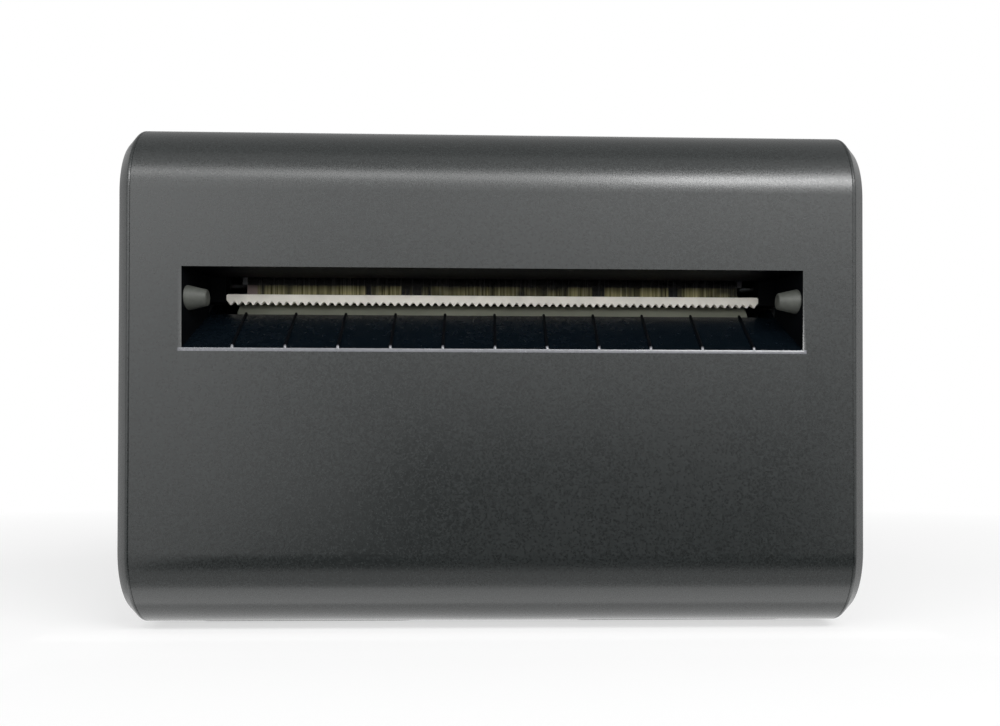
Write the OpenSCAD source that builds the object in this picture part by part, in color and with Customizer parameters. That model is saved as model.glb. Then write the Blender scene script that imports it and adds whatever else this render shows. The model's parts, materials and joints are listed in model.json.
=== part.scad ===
// Desktop thermal printer for 112 mm paper rolls.
// Frame: +Z up, +X to the right seen from the front, the front faces -Y.
// The origin is the centre of the bottom of the overall box.

/* [Casing] */
// Width over both side panels
case_w = 150; // [144:1:170]
// Depth from the front face to the rear face
case_d = 170; // [166:1:190]
// Height of the casing without its feet
case_h = 103; // [101:1:120]
// Wall thickness of the mouldings
wall = 2.5; // [2:0.1:3]
// Radius of the front shell's top and bottom edges
edge_r = 15.5; // [10:0.5:16]
// Radius of the rear edges
rear_r = 8; // [5:0.5:9]
// Thickness of each side panel
panel_t = 3; // [2.5:0.1:4]
// Size of the bevel round each side panel
panel_bevel = 2.4; // [1:0.1:2.4]
// Depth of the shallow pocket inside each side panel
panel_pocket = 1; // [0.5:0.1:1]
// Depth that the front shell's lands reach back
shell_back = 36; // [35:0.5:38]
// Height of the base tray's rear rim above the casing's underside
tray_rim = 9; // [8.5:0.1:9.4]
// Gap at the seams between covers
seam_gap = 0.3; // [0.2:0.05:0.5]
// Width of the locating lip inside each side panel
lip_w = 2; // [1.5:0.1:2]
// Thickness of the locating lip
lip_t = 1.5; // [1:0.1:2]

/* [Feet] */
// Height that the feet stand below the casing
foot_h = 1; // [0.8:0.1:4]
// Depth of the recess that a foot sits in
foot_sink = 0.8; // [0.5:0.1:1.2]
// Distance of a front pad's outer end from the casing's side
foot_end = 9; // [8:1:30]
// Width of each foot pad from front to back
foot_w = 10; // [6:0.5:12]
// Length of each rear foot pad
rear_foot_l = 20; // [12:1:30]
// Distance of the front pads behind the front face
front_foot_in = 19.5; // [16.5:0.5:19.5]
// Distance of the rear pads in front of the rear face
rear_foot_in = 22; // [20:0.5:26]
// Distance of a pad's inner end from the middle
foot_inset = 15; // [12:0.5:18]

/* [Paper exit] */
// Distance of the slot's ends from the casing's sides
slot_in = 13.1; // [12.5:0.1:14]
// Distance of the slot's lower lip below the casing's top
slot_drop = 46.9; // [45:0.1:47]
// Height of the slot in the front face
slot_h = 16.05; // [15.8:0.05:17]
// Chamfer along the slot's lower lip
lip_soft = 0.6; // [0.3:0.1:0.8]
// Depth of the funnel behind the front face
funnel_d = 12; // [11:0.1:12.4]
// Rise of the ramp from the lip to its rear edge
ramp_rise = 8.3; // [7:0.1:8.6]
// Lean of each end wall over the funnel's depth
funnel_lean = 2.3; // [1:0.1:2.5]
// Wall thickness of the funnel
funnel_wall = 2; // [1.5:0.1:2.1]
// Number of ribs on the ramp
rib_count = 11; // [5:2:11]
// Distance of the outermost ribs from the slot's ends
rib_in = 9.85; // [8.5:0.05:20]
// Thickness of a rib
rib_t = 0.8; // [0.5:0.1:1.2]
// Height of a rib above the ramp
rib_h = 0.6; // [0.3:0.1:0.8]
// Radius of an end wall's cone boss at its foot
boss_r = 2.5; // [2:0.1:2.8]
// Radius of the cone boss at its tip
boss_tip_r = 1.6; // [1:0.1:1.9]
// Length of the cone boss
boss_l = 3.8; // [3:0.1:4.5]
// Depth of the cone boss behind the front face
boss_d = 3.2; // [3:0.1:7.6]
// Height of the cone boss above the slot's lip
boss_h = 10.3; // [8:0.1:12.4]

/* [Tear bar] */
// Depth of the tear bar behind the front face
bar_d = 13.5; // [13.3:0.1:13.8]
// Thickness of the tear bar
bar_t = 1.6; // [0.8:0.1:1.6]
// Distance of the tear bar's ends from the side frames
bar_end = 4.1; // [4:0.1:4.5]
// Height of the tooth tips above the slot's lip
bar_rise = 10.5; // [10.3:0.1:10.9]
// Height of the bar from its tooth tips
bar_h = 2.3; // [2:0.1:3]
// Number of teeth
tooth_count = 72; // [40:1:90]
// Height of a tooth
tooth_h = 0.7; // [0.4:0.1:0.9]

/* [Platen] */
// Depth of the platen's axis behind the front face
platen_d = 20.5; // [20.3:0.1:21]
// Height of the platen's top above the slot's lip
platen_rise = 11.7; // [11:0.1:11.9]
// Radius of the rubber
platen_r = 7; // [6:0.1:7.2]
// Distance of the rubber's ends from the side frames
platen_end = 6; // [4.5:0.5:10]
// Radius of the steel shaft
shaft_r = 3; // [2.5:0.1:3.5]
// Radius of a bushing's barrel
bush_r = 5; // [4.5:0.1:5.5]
// Radius of a bushing's flange
bush_flange_r = 6.5; // [6.2:0.1:7.5]
// Running clearance, on the radius
run_fit = 0.06; // [0.02:0.01:0.09]

/* [Frames] */
// Distance of each side frame's inner face from the casing's side
frame_in = 14.5; // [14:0.1:14.7]
// Sheet thickness of the side frames
frame_t = 1.5; // [1:0.1:1.6]
// Depth of the frames' rear edge behind the front face
frame_back = 58; // [57:0.5:60]
// Height of the frames' top edge above the slot's lip
frame_rise = 29.9; // [29:0.1:31]
// Width of the frames' feet
frame_foot = 10; // [8:0.5:12]
// Height of the tray's frame bosses
frame_boss_h = 3.5; // [3:0.1:4]
// Sheet thickness of the cross beam
beam_t = 1.5; // [1:0.1:2]
// Width of the cross beam from front to back
beam_w = 12; // [10:0.5:14]

/* [Drive] */
// Module of the drive gears
gear_module = 0.8; // [0.78:0.01:0.82]
// Teeth on the platen gear
platen_teeth = 30; // [28:1:32]
// Length of the gear train over the distance from the platen to the motor
gear_stretch = 1.07; // [1.07:0.01:1.09]
// Teeth on the motor pinion
motor_teeth = 14; // [14:1:15]
// Face width of the drive gears
gear_w = 4; // [3:0.1:4.2]
// Distance of the gears' inner faces from a side frame's inner face
gear_gap = 3.7; // [3.6:0.05:4.1]
// Depth of the motor's axis behind the front face
motor_d = 44; // [43:0.5:44]
// Height of the motor's axis above the casing's underside
motor_z = 28; // [27:0.5:28]
// Radius of the motor's can
motor_r = 17.5; // [16:0.1:17.5]
// Length of the motor's can
motor_l = 22; // [16:0.5:26]
// Radius of the motor's shaft
motor_shaft_r = 1.5; // [1:0.1:2]
// Radius of the motor's front boss
motor_boss_r = 5; // [4:0.1:6]
// Radius of the post that the idler turns on
idler_post_r = 2; // [1.5:0.1:3]

/* [Print head] */
// Distance of the print head's ends from the side frames
head_end = 5.5; // [5.5:0.1:7]
// Thickness of the ceramic substrate
ceramic_t = 1; // [0.6:0.1:1.2]
// Thickness of the heat sink behind the substrate
sink_t = 6; // [4:0.1:7]
// Thickness of the head bracket's sheet
bracket_t = 1.5; // [1:0.1:2]
// Depth of the head's pivot behind the front face
pivot_d = 52; // [50:0.5:53]
// Height of the head's pivot above the platen's top
pivot_rise = 6.2; // [6:0.1:6.4]
// Height of the bracket's top face above the platen's top
bracket_rise = 10.2; // [10:0.1:10.4]
// Radius of the pivot shaft
pivot_r = 2; // [1.5:0.1:2.5]
// Depth of the cam shaft behind the front face
cam_d = 36; // [35:0.5:38]
// Radius of the eccentric cams
cam_r = 3.3; // [3.2:0.05:3.6]
// Throw of the eccentric cams
cam_throw = 1.6; // [1.5:0.05:1.6]
// Width of each cam
cam_w = 6; // [4:0.5:10]
// Distance of each cam's middle from the bracket's end
cam_in = 12; // [9:0.5:16]
// Radius of the cam shaft
cam_shaft_r = 1.6; // [1.4:0.1:1.7]
// Length of the head lever from its axis to its knob
lever_l = 19; // [16:0.5:19]
// Thickness of the head lever
lever_t = 2.5; // [2:0.1:2.8]
// Radius of the lever's knob
knob_r = 3; // [2.5:0.1:3.4]
// Mean radius of a head spring
spring_r = 3; // [2.5:0.1:4]
// Wire radius of the springs
wire_r = 0.35; // [0.25:0.05:0.45]
// Distance of each head spring from the middle
spring_x = 30; // [20:1:40]

/* [Paper roll] */
// Gap between the cradle and the frames in front of it
cradle_front = 4; // [4:0.5:5]
// Distance of the cradle's back from the rear face
cradle_rear = 22; // [22:0.5:24]
// Height left for the racks between the tray's floor and the cradle
rack_room = 8.5; // [8.3:0.1:9]
// Height left between the cradle's circle and the lid's plate
lid_room = 3.5; // [3.5:0.5:6]
// Wall thickness of the cradle
cradle_t = 2; // [1.5:0.1:2.1]
// Radius of a roll guide's disc
guide_r = 26; // [20:0.5:28]
// Thickness of a roll guide's disc
guide_t = 2.5; // [2:0.1:3]
// Distance from a side frame's inner face to the guide's face when it is fully out
guide_end = 4; // [3.8:0.1:4.2]
// Travel of each roll guide towards the middle
guide_travel = 27; // [15:1:27]
// Radius of the hub that holds the roll's core
hub_r = 6; // [5:0.1:8]
// Length of the hub
hub_l = 8; // [5:0.5:10]
// Width of a guide's neck from front to back
neck_w = 3; // [2.5:0.1:3.2]
// Module of the racks and their pinion
rack_module = 0.9; // [0.88:0.01:0.92]
// Teeth on the pinion between the racks
rack_pinion_teeth = 16; // [16:2:18]
// Height of the racks and their pinion
rack_h = 4; // [3:0.1:4.2]
// Distance of the racks' pinion in front of the roll's axis
rack_ahead = 15; // [14.5:0.5:15.5]
// Width of the plain bar behind a rack's teeth
rack_bar = 2.5; // [2:0.1:3]
// Radius of the post that the pinion turns on
pinion_post_r = 2.5; // [2:0.1:3]
// Thickness of the lower paper guide
paper_guide_t = 1.6; // [1.2:0.1:2]
// Place of the paper sensor from side to side
sensor_x = 20; // [14:1:26]
// Depth of the paper sensor behind the front face
sensor_d = 43; // [42:0.5:46]
// Width of the paper sensor's window
sensor_w = 8; // [7:0.5:10]
// Length of the paper sensor's window from front to back
sensor_l = 6; // [5:0.5:7]

/* [Electronics] */
// Distance of the main board's ends from the casing's sides
board_end = 17; // [15:1:19]
// Depth of the main board from front to back
board_l = 34; // [32:0.5:35]
// Thickness of the circuit boards
board_t = 1.6; // [1:0.1:1.6]
// Height of the main board's standoffs above the tray's floor
standoff_h = 7.5; // [7:0.1:8]
// Gap between the main board and the rear wall
board_gap = 3.5; // [3:0.1:4]
// Gap between a connector and the hole round it
port_gap = 0.3; // [0.1:0.05:0.5]
// Distance of the power inlet from the main board's nearer end
dc_in = 14; // [13:1:16]
// Radius of the power inlet's bore
dc_r = 3.2; // [3:0.1:3.5]
// Distance of the data port from the same end
usb_in = 38; // [36:1:42]
// Place of the cash drawer port from side to side
drawer_x = 6; // [2:1:10]
// Distance of the power switch from the main board's other end
switch_in = 16; // [12:1:20]
// Height of the power switch's pivot above the casing's underside
switch_z = 24; // [23.5:0.5:30]
// Angle that the rocker turns through
rocker_turn = 12; // [8:1:14]

/* [Feed button] */
// Place of the feed button from side to side
button_x = 46; // [45:0.5:47]
// Depth of the feed button behind the front face
button_d = 26; // [25.5:0.5:26.5]
// Radius of the feed button
button_r = 4.5; // [4:0.1:4.8]
// Travel of the feed button
button_travel = 1.2; // [0.6:0.1:1.2]
// Clearance round the feed button
button_gap = 0.3; // [0.2:0.05:0.4]
// Place of the status light from side to side
light_x = 33; // [32:0.5:33.5]
// Radius of the status light's pipe
light_r = 1.5; // [1:0.1:1.8]

/* [Lid] */
// Distance of the lid's hinge axis in front of the rear face
hinge_in = 12; // [12:0.5:15]
// Radius of the lid's hinge barrel
hinge_r = 3.5; // [3:0.1:3.8]
// Radius of the hinge pins
hinge_pin_r = 1.5; // [1:0.1:1.8]
// Distance of each hinge from the middle
hinge_x = 46; // [36:1:54]
// Width of a rear panel knuckle
knuckle_w = 6; // [4:0.5:8]
// Width of the lid's knuckle between two of them
lid_knuckle_w = 12; // [8:0.5:16]
// Depth of the lid's stiffening skirts
skirt_h = 7; // [4:0.5:7.5]

/* [Fasteners] */
// Length of the longest screws
screw_l = 6; // [5:0.5:7]
// Radius of a screw's shank
screw_r = 1.4; // [1.2:0.05:1.45]
// Radius of a screw's head
screw_head_r = 2.7; // [2.4:0.1:2.8]
// Height of a screw's head
screw_head_h = 1.6; // [1.2:0.1:1.8]
// Clearance round a screw's shank
screw_gap = 0.15; // [0.05:0.05:0.2]
// Radius of a screw boss
screw_boss_r = 4; // [3.6:0.1:4.5]

/* [Hidden] */
$fn = 64;
eps = 0.01;
touch = 0.3;             // gap between pieces on different bodies
front_y = -case_d / 2;
rear_y = case_d / 2;
top_z = foot_h + case_h;
seam_x = case_w / 2 - panel_t;
floor_z = foot_h + wall;       // upper face of the tray's floor
roof_z = top_z - wall;         // underside of the top walls

function dy(depth) = front_y + depth;    // depth behind the front face to Y
function zh(height) = foot_h + height;   // height above the casing's underside to Z

foot_l = case_w / 2 - foot_inset - foot_end;
lip_z = top_z - slot_drop;
slot_top = lip_z + slot_h;
slot_half = case_w / 2 - slot_in;
rib_pitch = 2 * (slot_half - rib_in) / (rib_count - 1);
frame_x = case_w / 2 - frame_in;
bar_l = 2 * (frame_x - bar_end);
platen_l = 2 * (frame_x - platen_end);
head_l = 2 * (frame_x - head_end);
gear_x = frame_x + gear_gap;
platen_y = dy(platen_d);
platen_top_z = lip_z + platen_rise;
platen_axis_z = platen_top_z - platen_r;
motor_y = dy(motor_d);
motor_axis_z = zh(motor_z);
pivot_y = dy(pivot_d);
pivot_axis_z = platen_top_z + pivot_rise;
bracket_z = platen_top_z + bracket_rise;
cam_y = dy(cam_d);
cam_axis_z = bracket_z - bracket_t - touch - (cam_r - cam_throw);
hinge_y = rear_y - hinge_in;
hinge_z = top_z - hinge_r - touch;
hinge_clear = hinge_r + 0.4;             // lid edge in front of the hinge axis
groove_back = hinge_r + 1;              // rear land behind the hinge axis
// The roll takes what the casing's depth and height leave it.
cradle_out = min(case_d - cradle_rear - frame_back - cradle_front,
    case_h - 2 * wall - rack_room - lid_room) / 2;
cradle_in = cradle_out - cradle_t;
cradle_x = frame_x - 0.2;
roll_y = dy(frame_back + cradle_front) + cradle_out;
roll_axis_z = floor_z + rack_room + cradle_out;
guide_gap = 2 * (frame_x - guide_end);
board_w = case_w - 2 * board_end;
dc_x = dc_in - board_w / 2;
usb_x = usb_in - board_w / 2;
switch_x = board_w / 2 - switch_in;
beam_z = bracket_z + 5.2;                // underside of the cross beam
beam_y = platen_y + 1;

// ---- Helpers -------------------------------------------------------------

// Extrudes a (Y, Z) outline along X from x0 to x1.
module along_x(x0, x1) {
    translate([x0, 0, 0]) rotate([90, 0, 90]) linear_extrude(x1 - x0) children();
}

// A rod along X.
module rod_x(x0, x1, y, z, r) {
    translate([x0, y, z]) rotate([0, 90, 0]) cylinder(r = r, h = x1 - x0);
}

// A box between two corners.
module span(low, high) {
    translate(low) cube(high - low);
}

// Copies its children on both sides of the middle.
module both_sides() {
    children();
    mirror([1, 0, 0]) children();
}

// A rectangle between two corners of the (Y, Z) plane.
module rect(low, high) {
    translate(low) square(high - low);
}

// Side view of the whole casing, drawn in by an inset.
module side_outline(inset = 0) {
    fr = edge_r - inset;
    rr = max(rear_r - inset, 1);
    low = foot_h + inset;
    high = top_z - inset;
    rect([front_y + edge_r, low], [rear_y - inset - rr, high]);
    rect([front_y + inset, low + fr], [rear_y - inset, high - fr]);
    rect([rear_y - inset - 2 * rr, low + rr], [rear_y - inset, high - rr]);
    for (z = [low + fr, high - fr]) translate([front_y + edge_r, z]) circle(fr, $fn = 96);
    for (z = [low + rr, high - rr]) translate([rear_y - inset - rr, z]) circle(rr);
}

// The casing's wall seen from the side.
module side_ring() {
    difference() {
        side_outline();
        side_outline(wall);
    }
}

// A pan head screw along -Z, its seat at the origin.
module screw(length) {
    difference() {
        union() {
            translate([0, 0, -length]) cylinder(r = screw_r, h = length + eps);
            cylinder(r1 = screw_head_r, r2 = screw_head_r * 0.7, h = screw_head_h);
        }
        for (a = [0, 90]) rotate(a) translate([-screw_head_r * 0.5, -0.25, screw_head_h / 2])
            cube([screw_head_r, 0.5, screw_head_h]);
    }
}

// A circuit board between two corners, with its screw holes.
module board(low, high, holes) {
    difference() {
        span(low, high);
        for (p = holes) translate([p[0], p[1], low[2] - 1])
            cylinder(r = screw_r + screw_gap, h = board_t + 2);
    }
}

// ---- Casing --------------------------------------------------------------

front_screws = [for (s = [-1, 1]) [s * 36, dy(33)]];
rear_screws = [for (s = [-1, 1]) [s * (seam_x - 8.5), rear_y - 12]];
light_pos = [light_x, dy(button_d)];
button_pos = [button_x, dy(button_d)];
board2_z = roof_z - 11;                  // underside of the button board
board2_screws = [[button_x - 8, dy(button_d) + 3.5], [button_x + 8.5, dy(button_d)]];

// Side view of the funnel's free space; grow widens it into the funnel's wall, which has no chamfer.
module funnel_side(grow = 0) {
    over = grow > 0 ? 0 : 1;
    soft = grow > 0 ? 0 : lip_soft;
    slope = ramp_rise / funnel_d;
    polygon([
        [front_y - over, lip_z - grow - soft - over * (1 + slope)],
        [front_y + soft, lip_z - grow + soft * slope],
        [dy(funnel_d) + over, lip_z - grow + ramp_rise * (1 + over / funnel_d)],
        [dy(funnel_d) + over, slot_top + grow],
        [front_y - over, slot_top + grow]
    ]);
}

// Plan view of the funnel's free space.
module funnel_plan(grow = 0) {
    over = grow > 0 ? 0 : 1;
    lean = funnel_lean / funnel_d;
    near = slot_half + grow + over * lean;
    far = slot_half + grow - lean * (funnel_d + over);
    polygon([
        [-near, front_y - over], [near, front_y - over],
        [far, dy(funnel_d) + over], [-far, dy(funnel_d) + over]
    ]);
}

module funnel_block(grow = 0) {
    intersection() {
        along_x(-slot_half - 5, slot_half + 5) funnel_side(grow);
        translate([0, 0, lip_z - 10]) linear_extrude(slot_h + 20) funnel_plan(grow);
    }
}

// One rib along the ramp, from a blunt nose over the lip's chamfer to a small tip past the rear edge.
module ramp_rib(x) {
    along_x(x - rib_t / 2, x + rib_t / 2) polygon([
        [front_y + 0.1, lip_z - lip_soft], [front_y + 0.1, lip_z - 0.1], [front_y + 0.5, lip_z + rib_h],
        [dy(funnel_d), lip_z + ramp_rise + rib_h], [dy(funnel_d) + 0.6, lip_z + ramp_rise],
        [dy(funnel_d), lip_z + ramp_rise - funnel_wall], [front_y + 0.5, lip_z - lip_soft]
    ]);
}

module cone_boss() {
    wall_x = slot_half - funnel_lean * boss_d / funnel_d;
    translate([-wall_x - 0.6, dy(boss_d), lip_z + boss_h]) rotate([0, 90, 0])
        cylinder(r1 = boss_r, r2 = boss_tip_r, h = boss_l + 0.6);
}

// A pair of upright pads with half-round ends, drawn in by an inset.
module pads(length, y, z0, z1, inset = 0) {
    r = foot_w / 2;
    both_sides() translate([0, y + r, z0]) linear_extrude(z1 - z0) {
        translate([foot_inset + r, inset - r]) square([length - foot_w, foot_w - 2 * inset]);
        for (x = [foot_inset + r, foot_inset + length - r]) translate([x, 0]) circle(r - inset);
    }
}

// Recesses for a pair of foot pads.
module foot_recess(length, y) {
    pads(length, y, foot_h - 1, foot_h + foot_sink);
}

module front_shell() color("#2b2e30") {
    difference() {
        union() {
            along_x(-seam_x, seam_x) intersection() {
                side_ring();
                rect([front_y - 1, 0], [dy(shell_back), top_z + 1]);
            }
            funnel_block(funnel_wall);
            // ledge that carries the lid's front edge
            along_x(-seam_x + lip_w + touch, seam_x - lip_w - touch) {
                rect([dy(shell_back - 6), roof_z - 1.9], [dy(shell_back), roof_z + eps]);
                rect([dy(shell_back) - eps, roof_z - 1.9], [dy(shell_back + 3), roof_z - touch]);
            }
            // guide sleeve of the feed button
            translate([button_pos[0], button_pos[1], roof_z - 2.6])
                cylinder(r = button_r + button_gap + 1.5, h = 2.7);
            // posts that carry the button board
            for (p = board2_screws) translate([p[0], p[1], board2_z + board_t])
                cylinder(r = 2.4, h = roof_z - board2_z - board_t + eps);
        }
        funnel_block();
        foot_recess(foot_l, dy(front_foot_in));
        for (p = front_screws) translate([p[0], p[1], 0]) {
            cylinder(r = screw_r + screw_gap, h = floor_z + 1);
            cylinder(r = screw_head_r + 0.3, h = floor_z - 0.7);
        }
        translate([button_pos[0], button_pos[1], 0]) {
            translate([0, 0, roof_z - 4]) cylinder(r = button_r + button_gap, h = 8);
            translate([0, 0, top_z - 0.8]) cylinder(r1 = button_r + 1.5, r2 = button_r + 2.6, h = 1);
        }
        translate([light_pos[0], light_pos[1], roof_z - 4]) cylinder(r = light_r + 0.05, h = 8);
        for (p = board2_screws) translate([p[0], p[1], board2_z]) cylinder(r = screw_r + 0.05, h = 7);
    }
    for (i = [0 : rib_count - 1]) ramp_rib((i - (rib_count - 1) / 2) * rib_pitch);
    both_sides() cone_boss();
}

// Racks and their pinion lie just above the tray's floor.
rack_y = roll_y - rack_ahead;
rack_rp = rack_module * rack_pinion_teeth / 2;
rack_pitch = PI * rack_module;
tooth_add = 0.8;                         // addendum in modules
tooth_ded = 1.1;                         // dedendum in modules
rack_z = floor_z + 1.2;
rack_back = rack_rp + tooth_ded * rack_module + rack_bar;   // pinion axis to a rack's plain face
rail_l = cradle_x - 2;

frame_foot_z = floor_z + frame_boss_h;
frame_screw_pos = [for (d = [1.5, 10]) [frame_x - frame_foot / 2, motor_y + d]];

board_y0 = rear_y - wall - board_gap - board_l;
board_z = floor_z + standoff_h;
board_screw_pos = [for (x = [4, board_w - 4], y = [4, board_l - 4]) [x - board_w / 2, board_y0 + y]];

module base_tray() color("#26292b") {
    tongue_x = seam_x - lip_w - touch;
    difference() {
        union() {
            along_x(-seam_x, seam_x) intersection() {
                side_ring();
                rect([dy(shell_back) + seam_gap, 0], [rear_y + 1, zh(tray_rim)]);
            }
            along_x(-tongue_x, tongue_x) rect([dy(shell_back - 8), floor_z],
                [dy(shell_back + 4), floor_z + 2]);
            for (p = front_screws) translate([p[0], p[1], floor_z]) cylinder(r = screw_boss_r, h = 7);
            // side flanges that the side panels hook over
            both_sides() span([tongue_x - 1.5, dy(shell_back + 4), floor_z - eps],
                              [tongue_x, rear_y - 26, floor_z + 8]);
            both_sides() for (p = frame_screw_pos) translate([p[0], p[1], floor_z - eps])
                cylinder(r = screw_boss_r, h = frame_boss_h + eps);
            for (p = board_screw_pos) translate([p[0], p[1], floor_z - eps])
                cylinder(r = 3, h = standoff_h + eps);
            // rails under and beside the racks
            for (s = [-1, 1]) {
                y = rack_y + s * rack_back;
                span([-rail_l, y - s * rack_bar / 2 - 0.6, floor_z - eps],
                     [rail_l, y - s * rack_bar / 2 + 0.6, rack_z - touch]);
                span([-rail_l, y + s * (touch + 0.75) - 0.75, floor_z - eps],
                     [rail_l, y + s * (touch + 0.75) + 0.75, rack_z + rack_h / 2]);
            }
            translate([0, rack_y, floor_z - eps]) {
                cylinder(r = pinion_post_r + 1.5, h = rack_z - touch - floor_z);
                cylinder(r = pinion_post_r, h = rack_z - floor_z + rack_h + 0.6);
            }
        }
        foot_recess(rear_foot_l, rear_y - rear_foot_in);
        for (p = front_screws) translate([p[0], p[1], floor_z - 1]) cylinder(r = screw_r + 0.05, h = 6.5);
        for (p = rear_screws) translate([p[0], p[1], 0]) {
            cylinder(r = screw_r + screw_gap, h = floor_z + 1);
            cylinder(r = screw_head_r + 0.3, h = floor_z - 0.7);
        }
        both_sides() for (p = frame_screw_pos) translate([p[0], p[1], floor_z - 0.5])
            cylinder(r = screw_r + 0.05, h = frame_boss_h + 1);
        for (p = board_screw_pos) translate([p[0], p[1], floor_z + 1])
            cylinder(r = screw_r + 0.05, h = standoff_h);
        // cooling slots under the main board
        for (i = [-4 : 4]) span([i * 8 - 1.5, rear_y - rear_foot_in - 26, foot_h - 1],
                            [i * 8 + 1.5, rear_y - rear_foot_in - 4, floor_z + 1]);
    }
}

// One side panel, on the +X side.
module side_panel() {
    chamfer = panel_bevel;
    slab = 0.05;
    difference() {
        hull() {
            along_x(seam_x, seam_x + panel_t - chamfer) side_outline();
            along_x(seam_x + panel_t - slab, seam_x + panel_t) side_outline(chamfer);
        }
        along_x(seam_x - 1, seam_x + panel_pocket) side_outline(wall + lip_t + 1);
    }
    along_x(seam_x - lip_w, seam_x + eps) difference() {
        side_outline(wall + 0.4);
        side_outline(wall + 0.4 + lip_t);
        // room for the lid's barrel
        translate([hinge_y, hinge_z]) circle(hinge_clear + touch);
    }
}
module right_side_panel() color("#303335") side_panel();
module left_side_panel() color("#303335") mirror([1, 0, 0]) side_panel();

// Connectors: width, height and how deep they reach in from the rear wall.
port_z = board_z + board_t;
dc_size = [9.2, 14, 11];
usb_size = [12, 16, 10.8];
drawer_size = [13.2, 15, 12];
switch_size = [15, 14, 22];              // frame of the power switch
switch_y = rear_y - 4.5;                 // rocker's pivot
switch_axis_z = zh(switch_z);

module port_hole(x, size) {
    g = port_gap;
    span([x - size[0] / 2 - g, rear_y - wall - 1, port_z - g],
        [x + size[0] / 2 + g, rear_y + 1, port_z + size[2] + g]);
}

// Rear knuckles stand on both sides of each lid knuckle.
function knuckle_starts() = [for (s = [-1, 1], t = [-1, 1])
    s * hinge_x + t * (lid_knuckle_w / 2 + 0.2 + knuckle_w / 2) - knuckle_w / 2];

module rear_panel() color("#2b2e30") {
    post_top = zh(tray_rim) + 22;
    difference() {
        union() {
            along_x(-seam_x, seam_x) intersection() {
                side_ring();
                union() {
                    rect([rear_y - wall - 1, zh(tray_rim) + seam_gap], [rear_y + 1, top_z - rear_r]);
                    rect([hinge_y + groove_back, top_z - rear_r - eps], [rear_y + 1, top_z + 1]);
                }
            }
            // gutter under the hinge barrel
            along_x(-seam_x + lip_w + touch, seam_x - lip_w - touch) {
                rect([hinge_y - 6, hinge_z - 7], [rear_y - wall + eps, hinge_z - 5.6]);
            }
            // knuckles and their webs
            for (x = knuckle_starts()) {
                rod_x(x, x + knuckle_w, hinge_y, hinge_z, hinge_r);
                span([x, hinge_y, hinge_z - 5.7], [x + knuckle_w, hinge_y + hinge_r, hinge_z]);
                span([x, hinge_y, hinge_z - 5.7], [x + knuckle_w, rear_y - wall + eps, hinge_z - 2]);
            }
            // posts for the rear housing screws
            for (p = rear_screws) span([p[0] - 4, p[1] - 4, floor_z],
                [p[0] + 4, rear_y - wall + eps, post_top]);
        }
        // the posts stop above the tray's curved rim
        along_x(-seam_x, seam_x) rect([rear_screws[0][1] + 4, 0], [rear_y + 1, zh(tray_rim) + seam_gap]);
        for (x = knuckle_starts()) rod_x(x - 1, x + knuckle_w + 1, hinge_y, hinge_z, hinge_pin_r + 0.02);
        for (p = rear_screws) translate([p[0], p[1], floor_z - 1]) cylinder(r = screw_r + 0.05, h = 9);
        port_hole(dc_x, dc_size);
        port_hole(usb_x, usb_size);
        port_hole(drawer_x, drawer_size);
        span([switch_x - switch_size[0] / 2 - port_gap, rear_y - wall - 1,
            switch_axis_z - switch_size[2] / 2 - port_gap],
             [switch_x + switch_size[0] / 2 + port_gap, rear_y + 1,
                 switch_axis_z + switch_size[2] / 2 + port_gap]);
    }
}

lid_x = seam_x - seam_gap;
lid_front = dy(shell_back) + seam_gap;

module top_lid() color("#2b2e30") {
    skirt_x = seam_x - lip_w - 1 - 2;
    difference() {
        union() {
            along_x(-lid_x, lid_x) rect([lid_front, roof_z], [hinge_y - hinge_clear, top_z]);
            // barrel along the rear edge
            along_x(-lid_x, lid_x) {
                translate([hinge_y, hinge_z]) circle(hinge_r);
                rect([hinge_y - hinge_clear - eps, roof_z], [hinge_y, hinge_z + hinge_r]);
            }
            // skirts and cross ribs under the plate
            both_sides() span([skirt_x, dy(shell_back + 4), roof_z - skirt_h],
                              [skirt_x + 2, hinge_y - 14, roof_z + eps]);
            for (i = [0 : 3]) translate([0, lid_front + 6 + i * (hinge_y - 22 - lid_front) / 3, 0])
                span([-skirt_x - eps, 0, roof_z - 3.5], [skirt_x + eps, 1.5, roof_z + eps]);
        }
        for (x = knuckle_starts()) span([x - 0.2, hinge_y - hinge_clear, hinge_z - 6],
                                        [x + knuckle_w + 0.2, hinge_y + 6, top_z + 1]);
        for (s = [-1, 1]) rod_x(s * hinge_x - lid_knuckle_w / 2 - knuckle_w - 1,
            s * hinge_x + lid_knuckle_w / 2 + knuckle_w + 1,
                                hinge_y, hinge_z, hinge_pin_r + run_fit);
    }
}

module lid_hinge_pins() color("silver") {
    reach = lid_knuckle_w / 2 + 0.2 + knuckle_w;
    for (s = [-1, 1]) rod_x(s * hinge_x - reach, s * hinge_x + reach, hinge_y, hinge_z, hinge_pin_r);
}

module front_feet() color("#151515") pads(foot_l, dy(front_foot_in), 0, foot_h + foot_sink, 0.2);
module rear_feet() color("#151515") pads(rear_foot_l, rear_y - rear_foot_in, 0, foot_h + foot_sink, 0.2);

module housing_screws() color("silver") {
    for (p = concat(front_screws, rear_screws)) translate([p[0], p[1], floor_z - 0.7]) mirror([0, 0, 1])
        screw(screw_l);
}

// ---- Frames and tear bar ---------------------------------------------------

frame_front = dy(bar_d) - 0.5;
frame_back_y = dy(frame_back);
frame_top_z = lip_z + frame_rise;
beam_screw = [beam_y, beam_z - 4];
holder_y = [frame_front, frame_front + 4];
holder_z = [slot_top + 1.3, slot_top + 5.3];
holder_screw = [holder_y[0] + 2, holder_z[0] + 2];
motor_screw_pos = [for (a = [30, 210]) [motor_y + 12.5 * cos(a), motor_axis_z + 12.5 * sin(a)]];

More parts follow.
